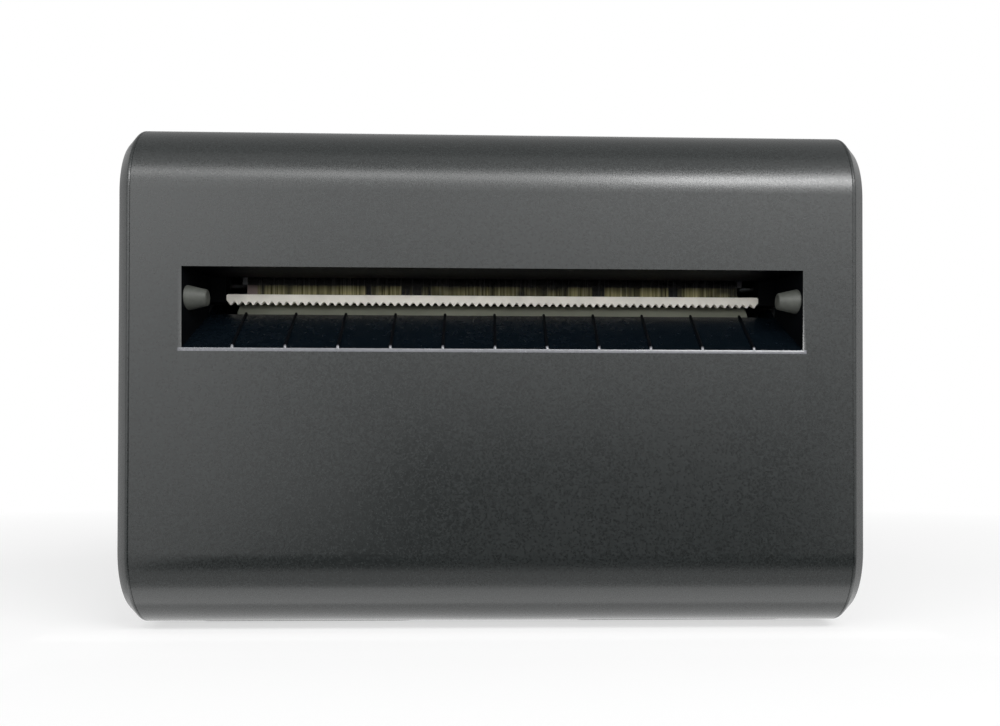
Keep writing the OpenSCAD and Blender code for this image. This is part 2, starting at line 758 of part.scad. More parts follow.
// A side frame's sheet and foot, on the +X side, with the holes that both frames have.
module side_frame() {
    difference() {
        union() {
            along_x(frame_x, frame_x + frame_t) polygon([
                [frame_front, motor_axis_z + 14], [frame_front, frame_top_z], [frame_back_y, frame_top_z],
                [frame_back_y, frame_foot_z], [motor_y - 2, frame_foot_z],
                [motor_y - 14, motor_axis_z - 13], [motor_y - 20, motor_axis_z + 3]
            ]);
            span([frame_x - frame_foot, motor_y - 2, frame_foot_z],
                [frame_x + eps, frame_back_y, frame_foot_z + frame_t]);
        }
        for (p = frame_screw_pos) translate([p[0], p[1], frame_foot_z - 1])
            cylinder(r = screw_r + screw_gap, h = frame_t + 2);
        frame_hole(platen_y, platen_axis_z, bush_r + 0.05);
        frame_hole(pivot_y, pivot_axis_z, pivot_r + 0.03);
        frame_hole(cam_y, cam_axis_z, cam_shaft_r + run_fit);
        frame_hole(beam_screw[0], beam_screw[1], screw_r + screw_gap);
        frame_hole(holder_screw[0], holder_screw[1], screw_r + screw_gap);
    }
}

module frame_hole(y, z, r) {
    rod_x(frame_x - 1, frame_x + frame_t + 1, y, z, r);
}

module right_frame() color("#9a9c9e") difference() {
    side_frame();
    frame_hole(motor_y - 2, motor_axis_z + 2, 8);
}

module left_frame() color("#9a9c9e") mirror([1, 0, 0]) difference() {
    side_frame();
    frame_hole(motor_y, motor_axis_z, motor_boss_r + 0.1);
    frame_hole(idler_y, idler_z, idler_post_r + 0.03);
    for (p = motor_screw_pos) frame_hole(p[0], p[1], screw_r + screw_gap);
}

module cross_beam() color("#a8aaac") {
    y0 = beam_y - beam_w / 2;
    y1 = beam_y + beam_w / 2;
    difference() {
        union() {
            span([-frame_x, y0, beam_z], [frame_x, y1, beam_z + beam_t]);
            for (y = [y0, y1 - beam_t]) span([-frame_x, y, beam_z], [frame_x, y + beam_t, beam_z + 3.5]);
            both_sides() span([frame_x - beam_t, beam_y - 4.5, beam_z - 8],
                [frame_x, beam_y + 4.5, beam_z + eps]);
            // spigots that hold the springs
            both_sides() translate([spring_x, beam_y, beam_z - 2])
                cylinder(r = spring_r - wire_r - 0.4, h = 2 + eps);
        }
        both_sides() rod_x(frame_x - beam_t - 1, frame_x + 1, beam_screw[0], beam_screw[1], screw_r + 0.05);
    }
}

// A screw through a side frame from outside, on the +X side.
module frame_screw(p, length) {
    translate([frame_x + frame_t, p[0], p[1]]) rotate([0, 90, 0]) screw(length);
}

module frame_screws() color("silver") {
    both_sides() {
        frame_screw(beam_screw, screw_l - 2);
        for (p = frame_screw_pos) translate([p[0], p[1], frame_foot_z + frame_t]) screw(screw_l - 1.5);
    }
}

module tear_bar_screws() color("silver") both_sides() frame_screw(holder_screw, screw_l - 1);

// The bar's ends are narrower tongues that sit in the holder.
bar_y = dy(bar_d);
tip_z = lip_z + bar_rise;
tongue_l = 2;
tongue_z = [tip_z + tooth_h + 0.3, tip_z + bar_h - 0.2];

module tear_bar() color("#d9d6cc") {
    half = bar_l / 2;
    pitch = bar_l / tooth_count;
    root_z = tip_z + tooth_h;
    teeth = [for (i = [0 : tooth_count - 1], p = [[0.12, root_z], [0.5, tip_z], [0.88, root_z]])
        [-half + (i + p[0]) * pitch, p[1]]];
    translate([0, bar_y + bar_t, 0]) rotate([90, 0, 0]) linear_extrude(bar_t)
        polygon(concat([[-half, root_z]], teeth,
            [[half, root_z], [half, tip_z + bar_h], [-half, tip_z + bar_h]]));
    both_sides() span([half - eps, bar_y, tongue_z[0]], [half + tongue_l, bar_y + bar_t, tongue_z[1]]);
}

module tear_bar_holder() color("#1b1c1d") {
    block_x = bar_l / 2 + 0.1;
    slack = 0.05;
    difference() {
        union() {
            span([-frame_x, holder_y[0], holder_z[0]], [frame_x, holder_y[1], holder_z[1]]);
            both_sides() span([block_x, holder_y[0], tip_z + 0.5], [frame_x, holder_y[1], holder_z[0] + eps]);
        }
        both_sides() {
            span([block_x - 1, bar_y - slack, tongue_z[0] - slack],
                 [bar_l / 2 + tongue_l + slack, bar_y + bar_t + slack, tongue_z[1] + slack]);
            rod_x(frame_x - 6, frame_x + 1, holder_screw[0], holder_screw[1], screw_r + 0.05);
        }
    }
}

// ---- Drive -----------------------------------------------------------------

pressure = 20;                           // pressure angle of every gear
backlash = 0.06;                         // tooth thinning at the pitch line, in modules

function involute(r, base) = let (a = acos(min(1, base / r))) tan(a) * 180 / PI - a;
function half_tooth(r, pitch_r, base, teeth) =
    90 / teeth - backlash * 180 / PI / teeth + involute(pitch_r, base) - involute(max(r, base), base);
function polar(r, a) = [r * cos(a), r * sin(a)];

// Outline of an involute gear; a tooth's middle is at the angle phase.
module gear_outline(mod, teeth, phase) {
    rp = mod * teeth / 2;
    base = rp * cos(pressure);
    tip = rp + tooth_add * mod;
    root = rp - tooth_ded * mod;
    radii = [root, max(base, root + 0.2 * mod), (max(base, root) + rp) / 2 + 0.1 * mod, (rp + tip) / 2, tip];
    last = len(radii) - 1;
    polygon([for (i = [0 : teeth - 1], k = [0 : 2 * last + 1])
        let (r = radii[k <= last ? k : 2 * last + 1 - k], side = k <= last ? -1 : 1)
        polar(r, phase + i * 360 / teeth + side * half_tooth(r, rp, base, teeth))]);
}

// Phase of a gear that meshes with one whose phase is known, along the line of centres at angle dir.
function mesh_phase(dir, phase_a, teeth_a, teeth_b) =
    dir + 180 - 360 / teeth_b * (0.5 - (dir - phase_a) * teeth_a / 360);

motor_dist = norm([motor_y - platen_y, motor_axis_z - platen_axis_z]);
idler_teeth = round(gear_stretch * motor_dist / gear_module - (platen_teeth + motor_teeth) / 2);
platen_idler = gear_module * (platen_teeth + idler_teeth) / 2;
motor_idler = gear_module * (motor_teeth + idler_teeth) / 2;
motor_dir = atan2(motor_axis_z - platen_axis_z, motor_y - platen_y);
idler_dir = motor_dir + acos((platen_idler ^ 2 + motor_dist ^ 2 - motor_idler ^ 2) / (2 * platen_idler * motor_dist));
idler_y = platen_y + platen_idler * cos(idler_dir);
idler_z = platen_axis_z + platen_idler * sin(idler_dir);
idler_phase = mesh_phase(idler_dir, 0, platen_teeth, idler_teeth);
pinion_dir = atan2(motor_axis_z - idler_z, motor_y - idler_y);
pinion_phase = mesh_phase(pinion_dir, idler_phase, idler_teeth, motor_teeth);

// A drive gear with a thin web between its hub and its rim.
module drive_gear(y, z, teeth, phase, bore) {
    rim = gear_module * teeth / 2 - 2.6 * gear_module;
    difference() {
        along_x(-gear_x - gear_w, -gear_x) translate([y, z]) gear_outline(gear_module, teeth, phase);
        rod_x(-gear_x - gear_w - 1, -gear_x + 1, y, z, bore);
        if (teeth > 20) for (x = [-gear_x - gear_w - 1, -gear_x - 1]) difference() {
            rod_x(x, x + 2, y, z, rim);
            rod_x(x - 1, x + 3, y, z, 5);
        }
    }
}

module platen_gear() color("#e4e0d4") drive_gear(platen_y, platen_axis_z, platen_teeth, 0, shaft_r + 0.02);
module idler_gear() color("#e4e0d4")
    drive_gear(idler_y, idler_z, idler_teeth, idler_phase, idler_post_r + run_fit);
module motor_pinion() color("#b9a15a")
    drive_gear(motor_y, motor_axis_z, motor_teeth, pinion_phase, motor_shaft_r + 0.02);

module idler_post() color("silver") {
    rod_x(-gear_x - gear_w - 0.6, -frame_x, idler_y, idler_z, idler_post_r);
    rod_x(-gear_x + touch, -frame_x - frame_t, idler_y, idler_z, idler_post_r + 1.5);
}

module platen_shaft() color("silver")
    rod_x(-gear_x - gear_w - 0.5, frame_x + frame_t + 1, platen_y, platen_axis_z, shaft_r);

module platen_rubber() color("#2f3231") difference() {
    rod_x(-platen_l / 2, platen_l / 2, platen_y, platen_axis_z, platen_r);
    rod_x(-platen_l, platen_l, platen_y, platen_axis_z, shaft_r + 0.02);
}

module platen_bushings() color("#1d1e20") both_sides() difference() {
    union() {
        rod_x(frame_x - 0.05, frame_x + frame_t + 0.4, platen_y, platen_axis_z, bush_r);
        rod_x(frame_x - 1.2, frame_x - 0.05, platen_y, platen_axis_z, bush_flange_r);
    }
    rod_x(frame_x - 3, frame_x + frame_t + 3, platen_y, platen_axis_z, shaft_r + run_fit);
}

module motor() color("#8f9193") {
    face = -frame_x;
    difference() {
        union() {
            rod_x(face, face + motor_l, motor_y, motor_axis_z, motor_r);
            rod_x(face - frame_t, face + eps, motor_y, motor_axis_z, motor_boss_r);
            span([face + 4, motor_y - 6, motor_axis_z],
                [face + motor_l - 2, motor_y + 6, motor_axis_z + motor_r + 1.5]);
        }
        rod_x(face - 5, face + 6, motor_y, motor_axis_z, motor_shaft_r + run_fit);
        for (p = motor_screw_pos) rod_x(face - 1, face + 4, p[0], p[1], screw_r + 0.05);
    }
}

module motor_shaft() color("silver")
    rod_x(-gear_x - gear_w - 0.5, -frame_x + 5.5, motor_y, motor_axis_z, motor_shaft_r);
module motor_screws() color("silver") mirror([1, 0, 0]) for (p = motor_screw_pos) frame_screw(p, screw_l - 1);

// ---- Print head ------------------------------------------------------------

sheet_z = bracket_z - bracket_t;         // underside of the bracket's top sheet
head_y = platen_y - ceramic_t;

module head_bracket() color("#9c9ea0") {
    half = head_l / 2;
    difference() {
        union() {
            span([-half, head_y, sheet_z], [half, pivot_y + 4, bracket_z]);
            both_sides() along_x(half - bracket_t, half) {
                polygon([
                    [platen_y + 1, sheet_z + eps], [platen_y + 1, platen_top_z + 4.5],
                    [pivot_y - 4, pivot_axis_z - 4], [pivot_y, pivot_axis_z - 4.4],
                    [pivot_y + 4, pivot_axis_z - 2], [pivot_y + 4, sheet_z + eps]
                ]);
            }
        }
        rod_x(-half - 1, half + 1, pivot_y, pivot_axis_z, pivot_r + run_fit);
        // notches that clear the cam shaft
        both_sides() span([half - bracket_t - 1, cam_y - cam_shaft_r - 1, 0],
            [half + 1, cam_y + cam_shaft_r + 1, sheet_z]);
        // lightening holes over the heat sink
        for (i = [-2 : 2]) if (i != 0) translate([i * 15 - sign(i) * 4, cam_y + 6, sheet_z - 1])
            cylinder(r = 3, h = bracket_t + 2);
    }
}

module heat_sink() color("#c4c6c8") {
    half = head_l / 2 - bracket_t;
    z0 = platen_top_z + 1.5;
    difference() {
        span([-half, platen_y, z0], [half, platen_y + sink_t, sheet_z]);
        for (i = [0 : 1]) span([-half - 1, platen_y + 2.2, z0 + 1.6 + i * 2.6],
            [half + 1, platen_y + sink_t + 1, z0 + 2.8 + i * 2.6]);
    }
}

module thermal_head() color("#8d8a63") {
    half = head_l / 2 - bracket_t;
    span([-half, head_y, platen_top_z + touch], [half, platen_y, sheet_z]);
}

module pivot_shaft() color("silver")
    rod_x(-frame_x - frame_t - 0.5, frame_x + frame_t + 0.5, pivot_y, pivot_axis_z, pivot_r);

// A coil spring along Z as one swept tube.
module coil_spring(radius, wire, height, turns) {
    sides = 6;
    steps = 14;
    count = turns * steps;
    rise = height - 2 * wire;
    points = [for (i = [0 : count], k = [0 : sides - 1])
        let (a = i * 360 / steps, b = k * 360 / sides, rr = radius + wire * cos(b))
        [rr * cos(a), rr * sin(a), wire + rise * i / count + wire * sin(b)]];
    faces = concat(
        [[for (k = [0 : sides - 1]) k]],
        [for (i = [0 : count - 1], k = [0 : sides - 1]) let (n = (k + 1) % sides)
            [i * sides + k, (i + 1) * sides + k, (i + 1) * sides + n, i * sides + n]],
        [[for (k = [sides - 1 : -1 : 0]) count * sides + k]]);
    polyhedron(points, faces);
}

module head_springs() color("silver") both_sides()
    translate([spring_x, beam_y, bracket_z + 0.02])
        coil_spring(spring_r, wire_r, beam_z - bracket_z - 0.04, 4);

module cam_shaft() color("#b4b6b8") {
    rod_x(-frame_x - frame_t - 0.5, frame_x + frame_t + 1 + lever_t, cam_y, cam_axis_z, cam_shaft_r);
    x = head_l / 2 - cam_in;
    both_sides() rod_x(x - cam_w / 2, x + cam_w / 2, cam_y, cam_axis_z - cam_throw, cam_r);
}

module head_lever() color("#3d7a4a") {
    x0 = frame_x + frame_t + 1;
    difference() {
        union() {
            rod_x(x0, x0 + lever_t, cam_y, cam_axis_z, 4.5);
            span([x0, cam_y - 2.5, cam_axis_z], [x0 + lever_t, cam_y + 2.5, cam_axis_z + lever_l]);
            rod_x(x0, x0 + lever_t, cam_y, cam_axis_z + lever_l, knob_r);
        }
        rod_x(x0 - 1, x0 + lever_t + 1, cam_y, cam_axis_z, cam_shaft_r + 0.02);
        span([x0 + lever_t - 0.8, cam_y - 1.2, cam_axis_z + 6],
            [x0 + lever_t + 1, cam_y + 1.2, cam_axis_z + lever_l - 4]);
    }
}

// ---- Paper path ------------------------------------------------------------

sensor_y = dy(sensor_d);
guide_y = [platen_y + platen_r + 1, frame_back_y + cradle_front - paper_guide_t - 0.2];
guide_top = platen_top_z - 0.9;

module paper_guide() color("#222425") difference() {
    union() {
        span([-frame_x, guide_y[0], guide_top - paper_guide_t], [frame_x, guide_y[1], guide_top]);
        for (i = [-5 : 5]) translate([i * (frame_x - 10.5) / 5, 0, 0])
            span([-0.5, guide_y[0] + 2, guide_top - 5],
                [0.5, guide_y[1] - 3, guide_top - paper_guide_t + eps]);
        rod_x(-frame_x, frame_x, guide_y[1], guide_top - paper_guide_t, paper_guide_t);
    }
    span([sensor_x - sensor_w / 2, sensor_y - sensor_l / 2, guide_top - 6],
         [sensor_x + sensor_w / 2, sensor_y + sensor_l / 2, guide_top + 1]);
}

module paper_sensor() color("#101214") {
    half = [sensor_w / 2 - 0.2, sensor_l / 2 - 0.2];
    difference() {
        span([sensor_x - half[0], sensor_y - half[1], guide_top - 4],
            [sensor_x + half[0], sensor_y + half[1], guide_top - 0.2]);
        for (s = [-1, 1]) translate([sensor_x + s * 1.8, sensor_y, guide_top - 1.2]) cylinder(r = 1, h = 2);
    }
}

// Outline of the roll cradle's trough.
module trough() {
    front_top = guide_top - 2 * paper_guide_t - 1;
    difference() {
        union() {
            translate([roll_y, roll_axis_z]) circle(cradle_out, $fn = 128);
            rect([roll_y - cradle_out, roll_axis_z], [roll_y + cradle_out, frame_top_z]);
        }
        rect([roll_y - cradle_out - 1, frame_top_z], [roll_y + cradle_out + 1, top_z + 10]);
        translate([roll_y, roll_axis_z]) circle(cradle_in, $fn = 128);
        rect([roll_y - cradle_in, roll_axis_z], [roll_y + cradle_in, frame_top_z + 1]);
        rect([roll_y - cradle_out - 1, front_top], [roll_y, frame_top_z + 1]);
    }
}

neck_gap = 0.5;
// Y range of a guide's neck; side is -1 for the front rack and 1 for the rear one.
function neck_range(side) = side < 0
    ? [rack_y - rack_back, rack_y - rack_back + neck_w]
    : [rack_y + rack_back - neck_w, rack_y + rack_back];

module neck_slot(side) {
    r = neck_range(side);
    out = guide_gap / 2 + guide_t + neck_gap;
    x0 = out - guide_t - guide_travel - 2 * neck_gap;
    span([side < 0 ? -out : x0, r[0] - neck_gap, 0],
        [side < 0 ? -x0 : out, r[1] + neck_gap, roll_axis_z - 8]);
}

module roll_cradle() color("#202223") {
    difference() {
        along_x(-cradle_x, cradle_x) trough();
        neck_slot(-1);
        neck_slot(1);
    }
    both_sides() along_x(cradle_x - 0.2, cradle_x + cradle_t) difference() {
        rect([roll_y - cradle_out, floor_z], [roll_y + cradle_out, frame_top_z]);
        translate([roll_y, frame_top_z]) circle(8);
    }
}

// Teeth of a rack that lies on the -Y side of its pinion, standing towards +Y.
module rack_teeth(first, last) {
    half = rack_pitch / 4 - backlash * rack_module / 2;
    lean = tan(pressure);
    tip = half - tooth_add * rack_module * lean;
    root = half + tooth_ded * rack_module * lean;
    for (i = [first : last]) polygon([
        [i * rack_pitch - root, -tooth_ded * rack_module - eps],
        [i * rack_pitch - tip, tooth_add * rack_module],
        [i * rack_pitch + tip, tooth_add * rack_module],
        [i * rack_pitch + root, -tooth_ded * rack_module - eps]
    ]);
}

// A guide's disc, hub and neck on the -X side; side tells which rack the neck stands on.
module guide_body(side) {
    inner = -guide_gap / 2;
    neck = neck_range(side);
    difference() {
        union() {
            along_x(inner - guide_t, inner) {
                translate([roll_y, roll_axis_z]) circle(guide_r);
                rect([neck[0], rack_z], [neck[1], roll_axis_z - 10]);
            }
            rod_x(inner - eps, inner + hub_l - 2, roll_y, roll_axis_z, hub_r);
            translate([inner + hub_l - 2, roll_y, roll_axis_z]) rotate([0, 90, 0])
                cylinder(r1 = hub_r, r2 = hub_r - 1, h = 2);
        }
        for (a = [0 : 60 : 300])
            rod_x(inner - guide_t - 1, inner + 1, roll_y + 16 * cos(a + 30),
                roll_axis_z + 16 * sin(a + 30), 4);
    }
}

// The rack on the -Y side of the pinion, which reaches in from the -X side.
module guide_rack() {
    outer = guide_gap / 2 + guide_t;
    translate([0, rack_y - rack_rp, rack_z]) linear_extrude(rack_h) {
        rack_teeth(-ceil((guide_travel + 4) / rack_pitch), 1);
        translate([-outer, -tooth_ded * rack_module - rack_bar]) square([outer + 1.6 * rack_pitch, rack_bar]);
    }
}

module left_roll_guide() color("#6d7072") {
    guide_body(-1);
    guide_rack();
}

module right_roll_guide() color("#6d7072") {
    mirror([1, 0, 0]) guide_body(1);
    translate([0, 2 * rack_y, 0]) rotate(180) guide_rack();
}

module guide_pinion() color("#e4e0d4") translate([0, rack_y, rack_z]) difference() {
    linear_extrude(rack_h) gear_outline(rack_module, rack_pinion_teeth, 180 / rack_pinion_teeth - 90);
    translate([0, 0, -1]) cylinder(r = pinion_post_r + run_fit, h = rack_h + 2);
}

// ---- Electronics -----------------------------------------------------------

module main_board() color("#2e6b3f") {
    board([-board_w / 2, board_y0, board_z], [board_w / 2, board_y0 + board_l, board_z + board_t],
        board_screw_pos);
    top = board_z + board_t;
    // processor, driver, memory, capacitors and the head cable's socket
    span([-8, board_y0 + 8, top - eps], [4, board_y0 + 20, top + 1.4]);
    span([14, board_y0 + 8, top - eps], [22, board_y0 + 14, top + 1.2]);
    span([-30, board_y0 + 9, top - eps], [-22, board_y0 + 17, top + 1.2]);
    span([dc_x - 2, board_y0 + 2.5, top - eps], [usb_x, board_y0 + 6, top + 2.6]);
    for (x = [30, 38]) translate([x, board_y0 + 13, top - eps]) cylinder(r = 3, h = 6);
}

module board_screws() color("silver")
    for (p = board_screw_pos) translate([p[0], p[1], board_z + board_t]) screw(screw_l);

// A connector's shell: its mouth faces the rear, flush with the casing.
module port_shell(x, size) {
    span([x - size[0] / 2, rear_y - size[1], port_z], [x + size[0] / 2, rear_y - 0.2, port_z + size[2]]);
}

module power_inlet() color("#141516") difference() {
    union() {
        port_shell(dc_x, dc_size);
        rod_y(dc_x, port_z + dc_size[2] / 2, rear_y - dc_size[1], rear_y - 0.2, dc_size[0] / 2);
    }
    difference() {
        rod_y(dc_x, port_z + dc_size[2] / 2, rear_y - 10, rear_y + 1, dc_r);
        rod_y(dc_x, port_z + dc_size[2] / 2, rear_y - 11, rear_y - 1.5, 1);
    }
}

// A rod along Y.
module rod_y(x, z, y0, y1, r) {
    translate([x, y0, z]) rotate([-90, 0, 0]) cylinder(r = r, h = y1 - y0);
}

module usb_port() color("#b8bbbd") {
    z = port_z + usb_size[2] / 2;
    difference() {
        port_shell(usb_x, usb_size);
        span([usb_x - 4.2, rear_y - 13, z - 3.9], [usb_x + 4.2, rear_y + 1, z + 3.9]);
    }
    span([usb_x - 2.8, rear_y - 13.5, z - 1.5], [usb_x + 2.8, rear_y - 2, z + 1.5]);
}

drawer_mouth = [9.8, 6.8];
module drawer_port() color("#1a1b1c") {
    z = port_z + 1.6;
    difference() {
        port_shell(drawer_x, drawer_size);
        span([drawer_x - drawer_mouth[0] / 2, rear_y - 12, z],
            [drawer_x + drawer_mouth[0] / 2, rear_y + 1, z + drawer_mouth[1]]);
        span([drawer_x - 3, rear_y - 12, z], [drawer_x + 3, rear_y + 1, z + drawer_mouth[1] + 1.6]);
    }
}

// Power switch: the rocker's half height and the pocket that it turns in.
rocker_half = 8.3;
rocker_w = switch_size[0] - 4;
pocket_half = rocker_half + 1;
rocker_pin_r = 1.2;

module switch_body() color("#141516") difference() {
    span([switch_x - switch_size[0] / 2, rear_y - switch_size[1], switch_axis_z - switch_size[2] / 2],
         [switch_x + switch_size[0] / 2, rear_y - 0.1, switch_axis_z + switch_size[2] / 2]);
    span([switch_x - rocker_w / 2 - touch, switch_y - 5.5, switch_axis_z - pocket_half],
         [switch_x + rocker_w / 2 + touch, rear_y + 1, switch_axis_z + pocket_half]);
    rod_x(switch_x - rocker_w / 2 - 1.6, switch_x + rocker_w / 2 + 1.6, switch_y, switch_axis_z,
        rocker_pin_r + run_fit);
}

module power_rocker() color("#0f1011") {
    translate([0, switch_y, switch_axis_z]) rotate([-rocker_turn / 2, 0, 0]) {
        along_x(switch_x - rocker_w / 2, switch_x + rocker_w / 2) polygon([
            [-3, -4], [-3, 4], [1.4, rocker_half], [3.4, rocker_half],
            [2, 0], [3.4, -rocker_half], [1.4, -rocker_half]
        ]);
        rod_x(switch_x - rocker_w / 2 - 1.4, switch_x + rocker_w / 2 + 1.4, 0, 0, rocker_pin_r);
    }
}

// ---- Feed button and status light -------------------------------------------

button_top = top_z - 0.2;
flange_z = roof_z - 2.6 - touch;         // upper face of the button's flange
flange_t = 1.4;
tact_h = 2.2;                            // height of the tact switch on the button board
board2_top = board2_z + board_t;
board2_half = 6.5;

module feed_button() color("#3a3d3f") translate([button_pos[0], button_pos[1], 0]) {
    translate([0, 0, flange_z - eps]) cylinder(r = button_r, h = button_top - flange_z - 0.6 + eps);
    translate([0, 0, button_top - 0.6 - eps]) cylinder(r1 = button_r, r2 = button_r - 0.5, h = 0.6);
    translate([0, 0, flange_z - flange_t]) cylinder(r = button_r + button_gap + 1, h = flange_t);
    translate([0, 0, board2_top + tact_h + button_travel + 0.1])
        cylinder(r = 1.5, h = flange_z - flange_t - board2_top - tact_h - button_travel);
}

module button_spring() color("silver") translate([button_pos[0], button_pos[1], board2_top + 0.02])
    coil_spring(button_r - 0.8, wire_r * 0.8, flange_z - flange_t - board2_top - 0.04, 3);

module status_light() color("#dfe6e2") translate([light_pos[0], light_pos[1], 0]) {
    translate([0, 0, board2_top + 1.4]) cylinder(r = light_r, h = top_z - 0.2 - board2_top - 1.4);
    translate([0, 0, roof_z - 1.2]) cylinder(r = light_r + 0.8, h = 1.2);
}

module button_board() color("#2e6b3f") {
    board([light_x - 3.4, light_pos[1] - board2_half, board2_z],
        [button_x + 11.6, light_pos[1] + board2_half, board2_top],
          board2_screws);
    span([button_x - 2, button_pos[1] - 2, board2_top - eps],
        [button_x + 2, button_pos[1] + 2, board2_top + tact_h]);
    span([light_x - 1, light_pos[1] - 1, board2_top - eps],
        [light_x + 1, light_pos[1] + 1, board2_top + 1.2]);
}

module button_board_screws() color("silver")
    for (p = board2_screws) translate([p[0], p[1], board2_z]) mirror([0, 0, 1]) screw(screw_l - 1);

front_shell();
base_tray();
left_side_panel();
right_side_panel();
rear_panel();
top_lid();
lid_hinge_pins();
front_feet();
rear_feet();
housing_screws();
tear_bar();
tear_bar_holder();
tear_bar_screws();
left_frame();
right_frame();
cross_beam();
frame_screws();
platen_shaft();
platen_rubber();
platen_bushings();
platen_gear();
idler_gear();
idler_post();
motor();
motor_shaft();
motor_pinion();
motor_screws();
head_bracket();
heat_sink();
thermal_head();
pivot_shaft();
head_springs();
cam_shaft();
head_lever();
paper_guide();
paper_sensor();
roll_cradle();
left_roll_guide();
right_roll_guide();
guide_pinion();
main_board();
board_screws();
power_inlet();
usb_port();
drawer_port();
switch_body();
power_rocker();
feed_button();
button_spring();
status_light();
button_board();
button_board_screws();
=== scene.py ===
"""Desktop thermal printer: modelled covers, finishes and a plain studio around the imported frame.

Lengths are in metres. The front faces -Y, X runs along the paper slot, and the pads stand on z = 0.
"""

from __future__ import annotations

import json
import logging
import math
from dataclasses import dataclass
from enum import Enum
from typing import Callable, Iterable, Sequence

import bmesh
import bpy
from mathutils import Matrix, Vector


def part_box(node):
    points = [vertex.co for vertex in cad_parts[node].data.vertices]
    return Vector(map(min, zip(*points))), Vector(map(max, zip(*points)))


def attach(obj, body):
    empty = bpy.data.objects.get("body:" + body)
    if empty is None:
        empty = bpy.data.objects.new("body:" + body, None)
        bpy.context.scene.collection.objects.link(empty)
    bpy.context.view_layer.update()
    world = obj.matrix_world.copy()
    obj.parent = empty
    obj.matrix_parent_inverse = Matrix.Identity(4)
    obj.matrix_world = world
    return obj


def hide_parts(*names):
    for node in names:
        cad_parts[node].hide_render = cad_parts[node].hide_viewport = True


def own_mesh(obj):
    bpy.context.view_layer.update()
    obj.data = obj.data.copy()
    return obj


LOG = logging.getLogger("printer")
Obj = bpy.types.Object
Material = bpy.types.Material
Socket = bpy.types.NodeSocket
Point = Sequence[float]
Colour = tuple[float, float, float, float]
FaceTest = Callable[[Vector, Vector], bool]
EdgeTest = Callable[[Vector, Vector], bool]

WHITE = (1.0, 1.0, 1.0, 1.0)
SIDES = (-1, 1)
MIDDLE = (0.0, 0.0, 0.05)
BUTTON = (0.046, -0.059)
FLAT = 0.9  # The least share of a normal along an axis in a face that looks that way.
HAIR = 0.0001  # Slack when a face is told by its place.
SUNK = 0.0002  # How far a moulded part is sunk into the wall that carries it.
THROUGH = 0.01  # Length of a cutter that goes all the way through a wall.

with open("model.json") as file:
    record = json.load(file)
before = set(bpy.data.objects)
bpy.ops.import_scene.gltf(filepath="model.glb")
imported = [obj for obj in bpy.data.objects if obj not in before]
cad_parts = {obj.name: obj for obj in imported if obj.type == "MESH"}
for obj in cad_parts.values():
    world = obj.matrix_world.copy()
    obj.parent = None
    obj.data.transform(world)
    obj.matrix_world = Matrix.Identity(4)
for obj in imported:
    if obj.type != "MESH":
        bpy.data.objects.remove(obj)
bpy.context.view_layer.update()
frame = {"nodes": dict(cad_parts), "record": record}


# ---- Modelling helpers -----------------------------------------------------


def deselect() -> None:
    """Leaves edit mode and clears the selection."""
    if bpy.context.object and bpy.context.object.mode != "OBJECT":
        bpy.ops.object.mode_set(mode="OBJECT")
    bpy.ops.object.select_all(action="DESELECT")


def take(obj: Obj) -> None:
    """Makes one object the only selected and active one."""
    deselect()
    obj.select_set(True)
    bpy.context.view_layer.objects.active = obj


def edit(obj: Obj) -> None:
    """Opens one object in edit mode."""
    take(obj)
    bpy.ops.object.mode_set(mode="EDIT")


def pick(obj: Obj, kind: str, test: Callable[..., bool]) -> None:
    """Selects only what passes a test; the object is in edit mode.

    Args:
        obj: The object in edit mode.
        kind: VERT, EDGE or FACE.
        test: Gets a point's place, an edge's two ends, or a face's centre and normal.
    """
    bpy.ops.mesh.select_mode(type=kind)
    bpy.ops.mesh.select_all(action="DESELECT")
    mesh = bmesh.from_edit_mesh(obj.data)
    if kind == "VERT":
        hits = [v for v in mesh.verts if test(v.co)]
    elif kind == "EDGE":
        hits = [e for e in mesh.edges if test(e.verts[0].co, e.verts[1].co)]
    else:
        hits = [f for f in mesh.faces if test(f.calc_center_median(), f.normal)]
    for part in hits:
        part.select_set(True)
    if kind == "VERT":
        mesh.select_flush(True)
    bmesh.update_edit_mesh(obj.data)


def select_all() -> None:
    """Selects all of the object that is in edit mode."""
    bpy.ops.mesh.select_all(action="SELECT")


def face_outwards() -> None:
    """Turns all faces of the object that is in edit mode outwards."""
    select_all()
    bpy.ops.mesh.normals_make_consistent(inside=False)


def move_points(obj: Obj, test: Callable[[Vector], bool], by: Point) -> None:
    """Moves the points that pass a test; the object is in edit mode."""
    pick(obj, "VERT", test)
    bpy.ops.transform.translate(value=by)


def drop_faces(obj: Obj, test: FaceTest) -> None:
    """Deletes the faces that pass a test; the object is in edit mode."""
    pick(obj, "FACE", test)
    bpy.ops.mesh.delete(type="FACE")


def near(a: float, b: float, slack: float = 1e-5) -> bool:
    """Whether two lengths are the same to a hundredth of a millimetre."""
    return abs(a - b) < slack


def along_x(y: float, z: float | None = None) -> EdgeTest:
    """Makes a test for the edges along X at a Y, and at a Z if one is given."""

    def test(a: Vector, b: Vector) -> bool:
        level = near(a.z, b.z) and (z is None or near(a.z, z))
        return level and near(a.y, y) and near(b.y, y)

    return test


def span(side: int, inner: float, outer: float) -> list[float]:
    """Gives the X range, the lower end first, of what lies on one side of the middle."""
    return sorted((side * inner, side * outer))


def settle(obj: Obj, name: str) -> Obj:
    """Names an object and applies its place, turn and scale to its mesh."""
    obj.name = name
    obj.data.name = name
    take(obj)
    bpy.ops.object.transform_apply(location=True, rotation=True, scale=True)
    return obj


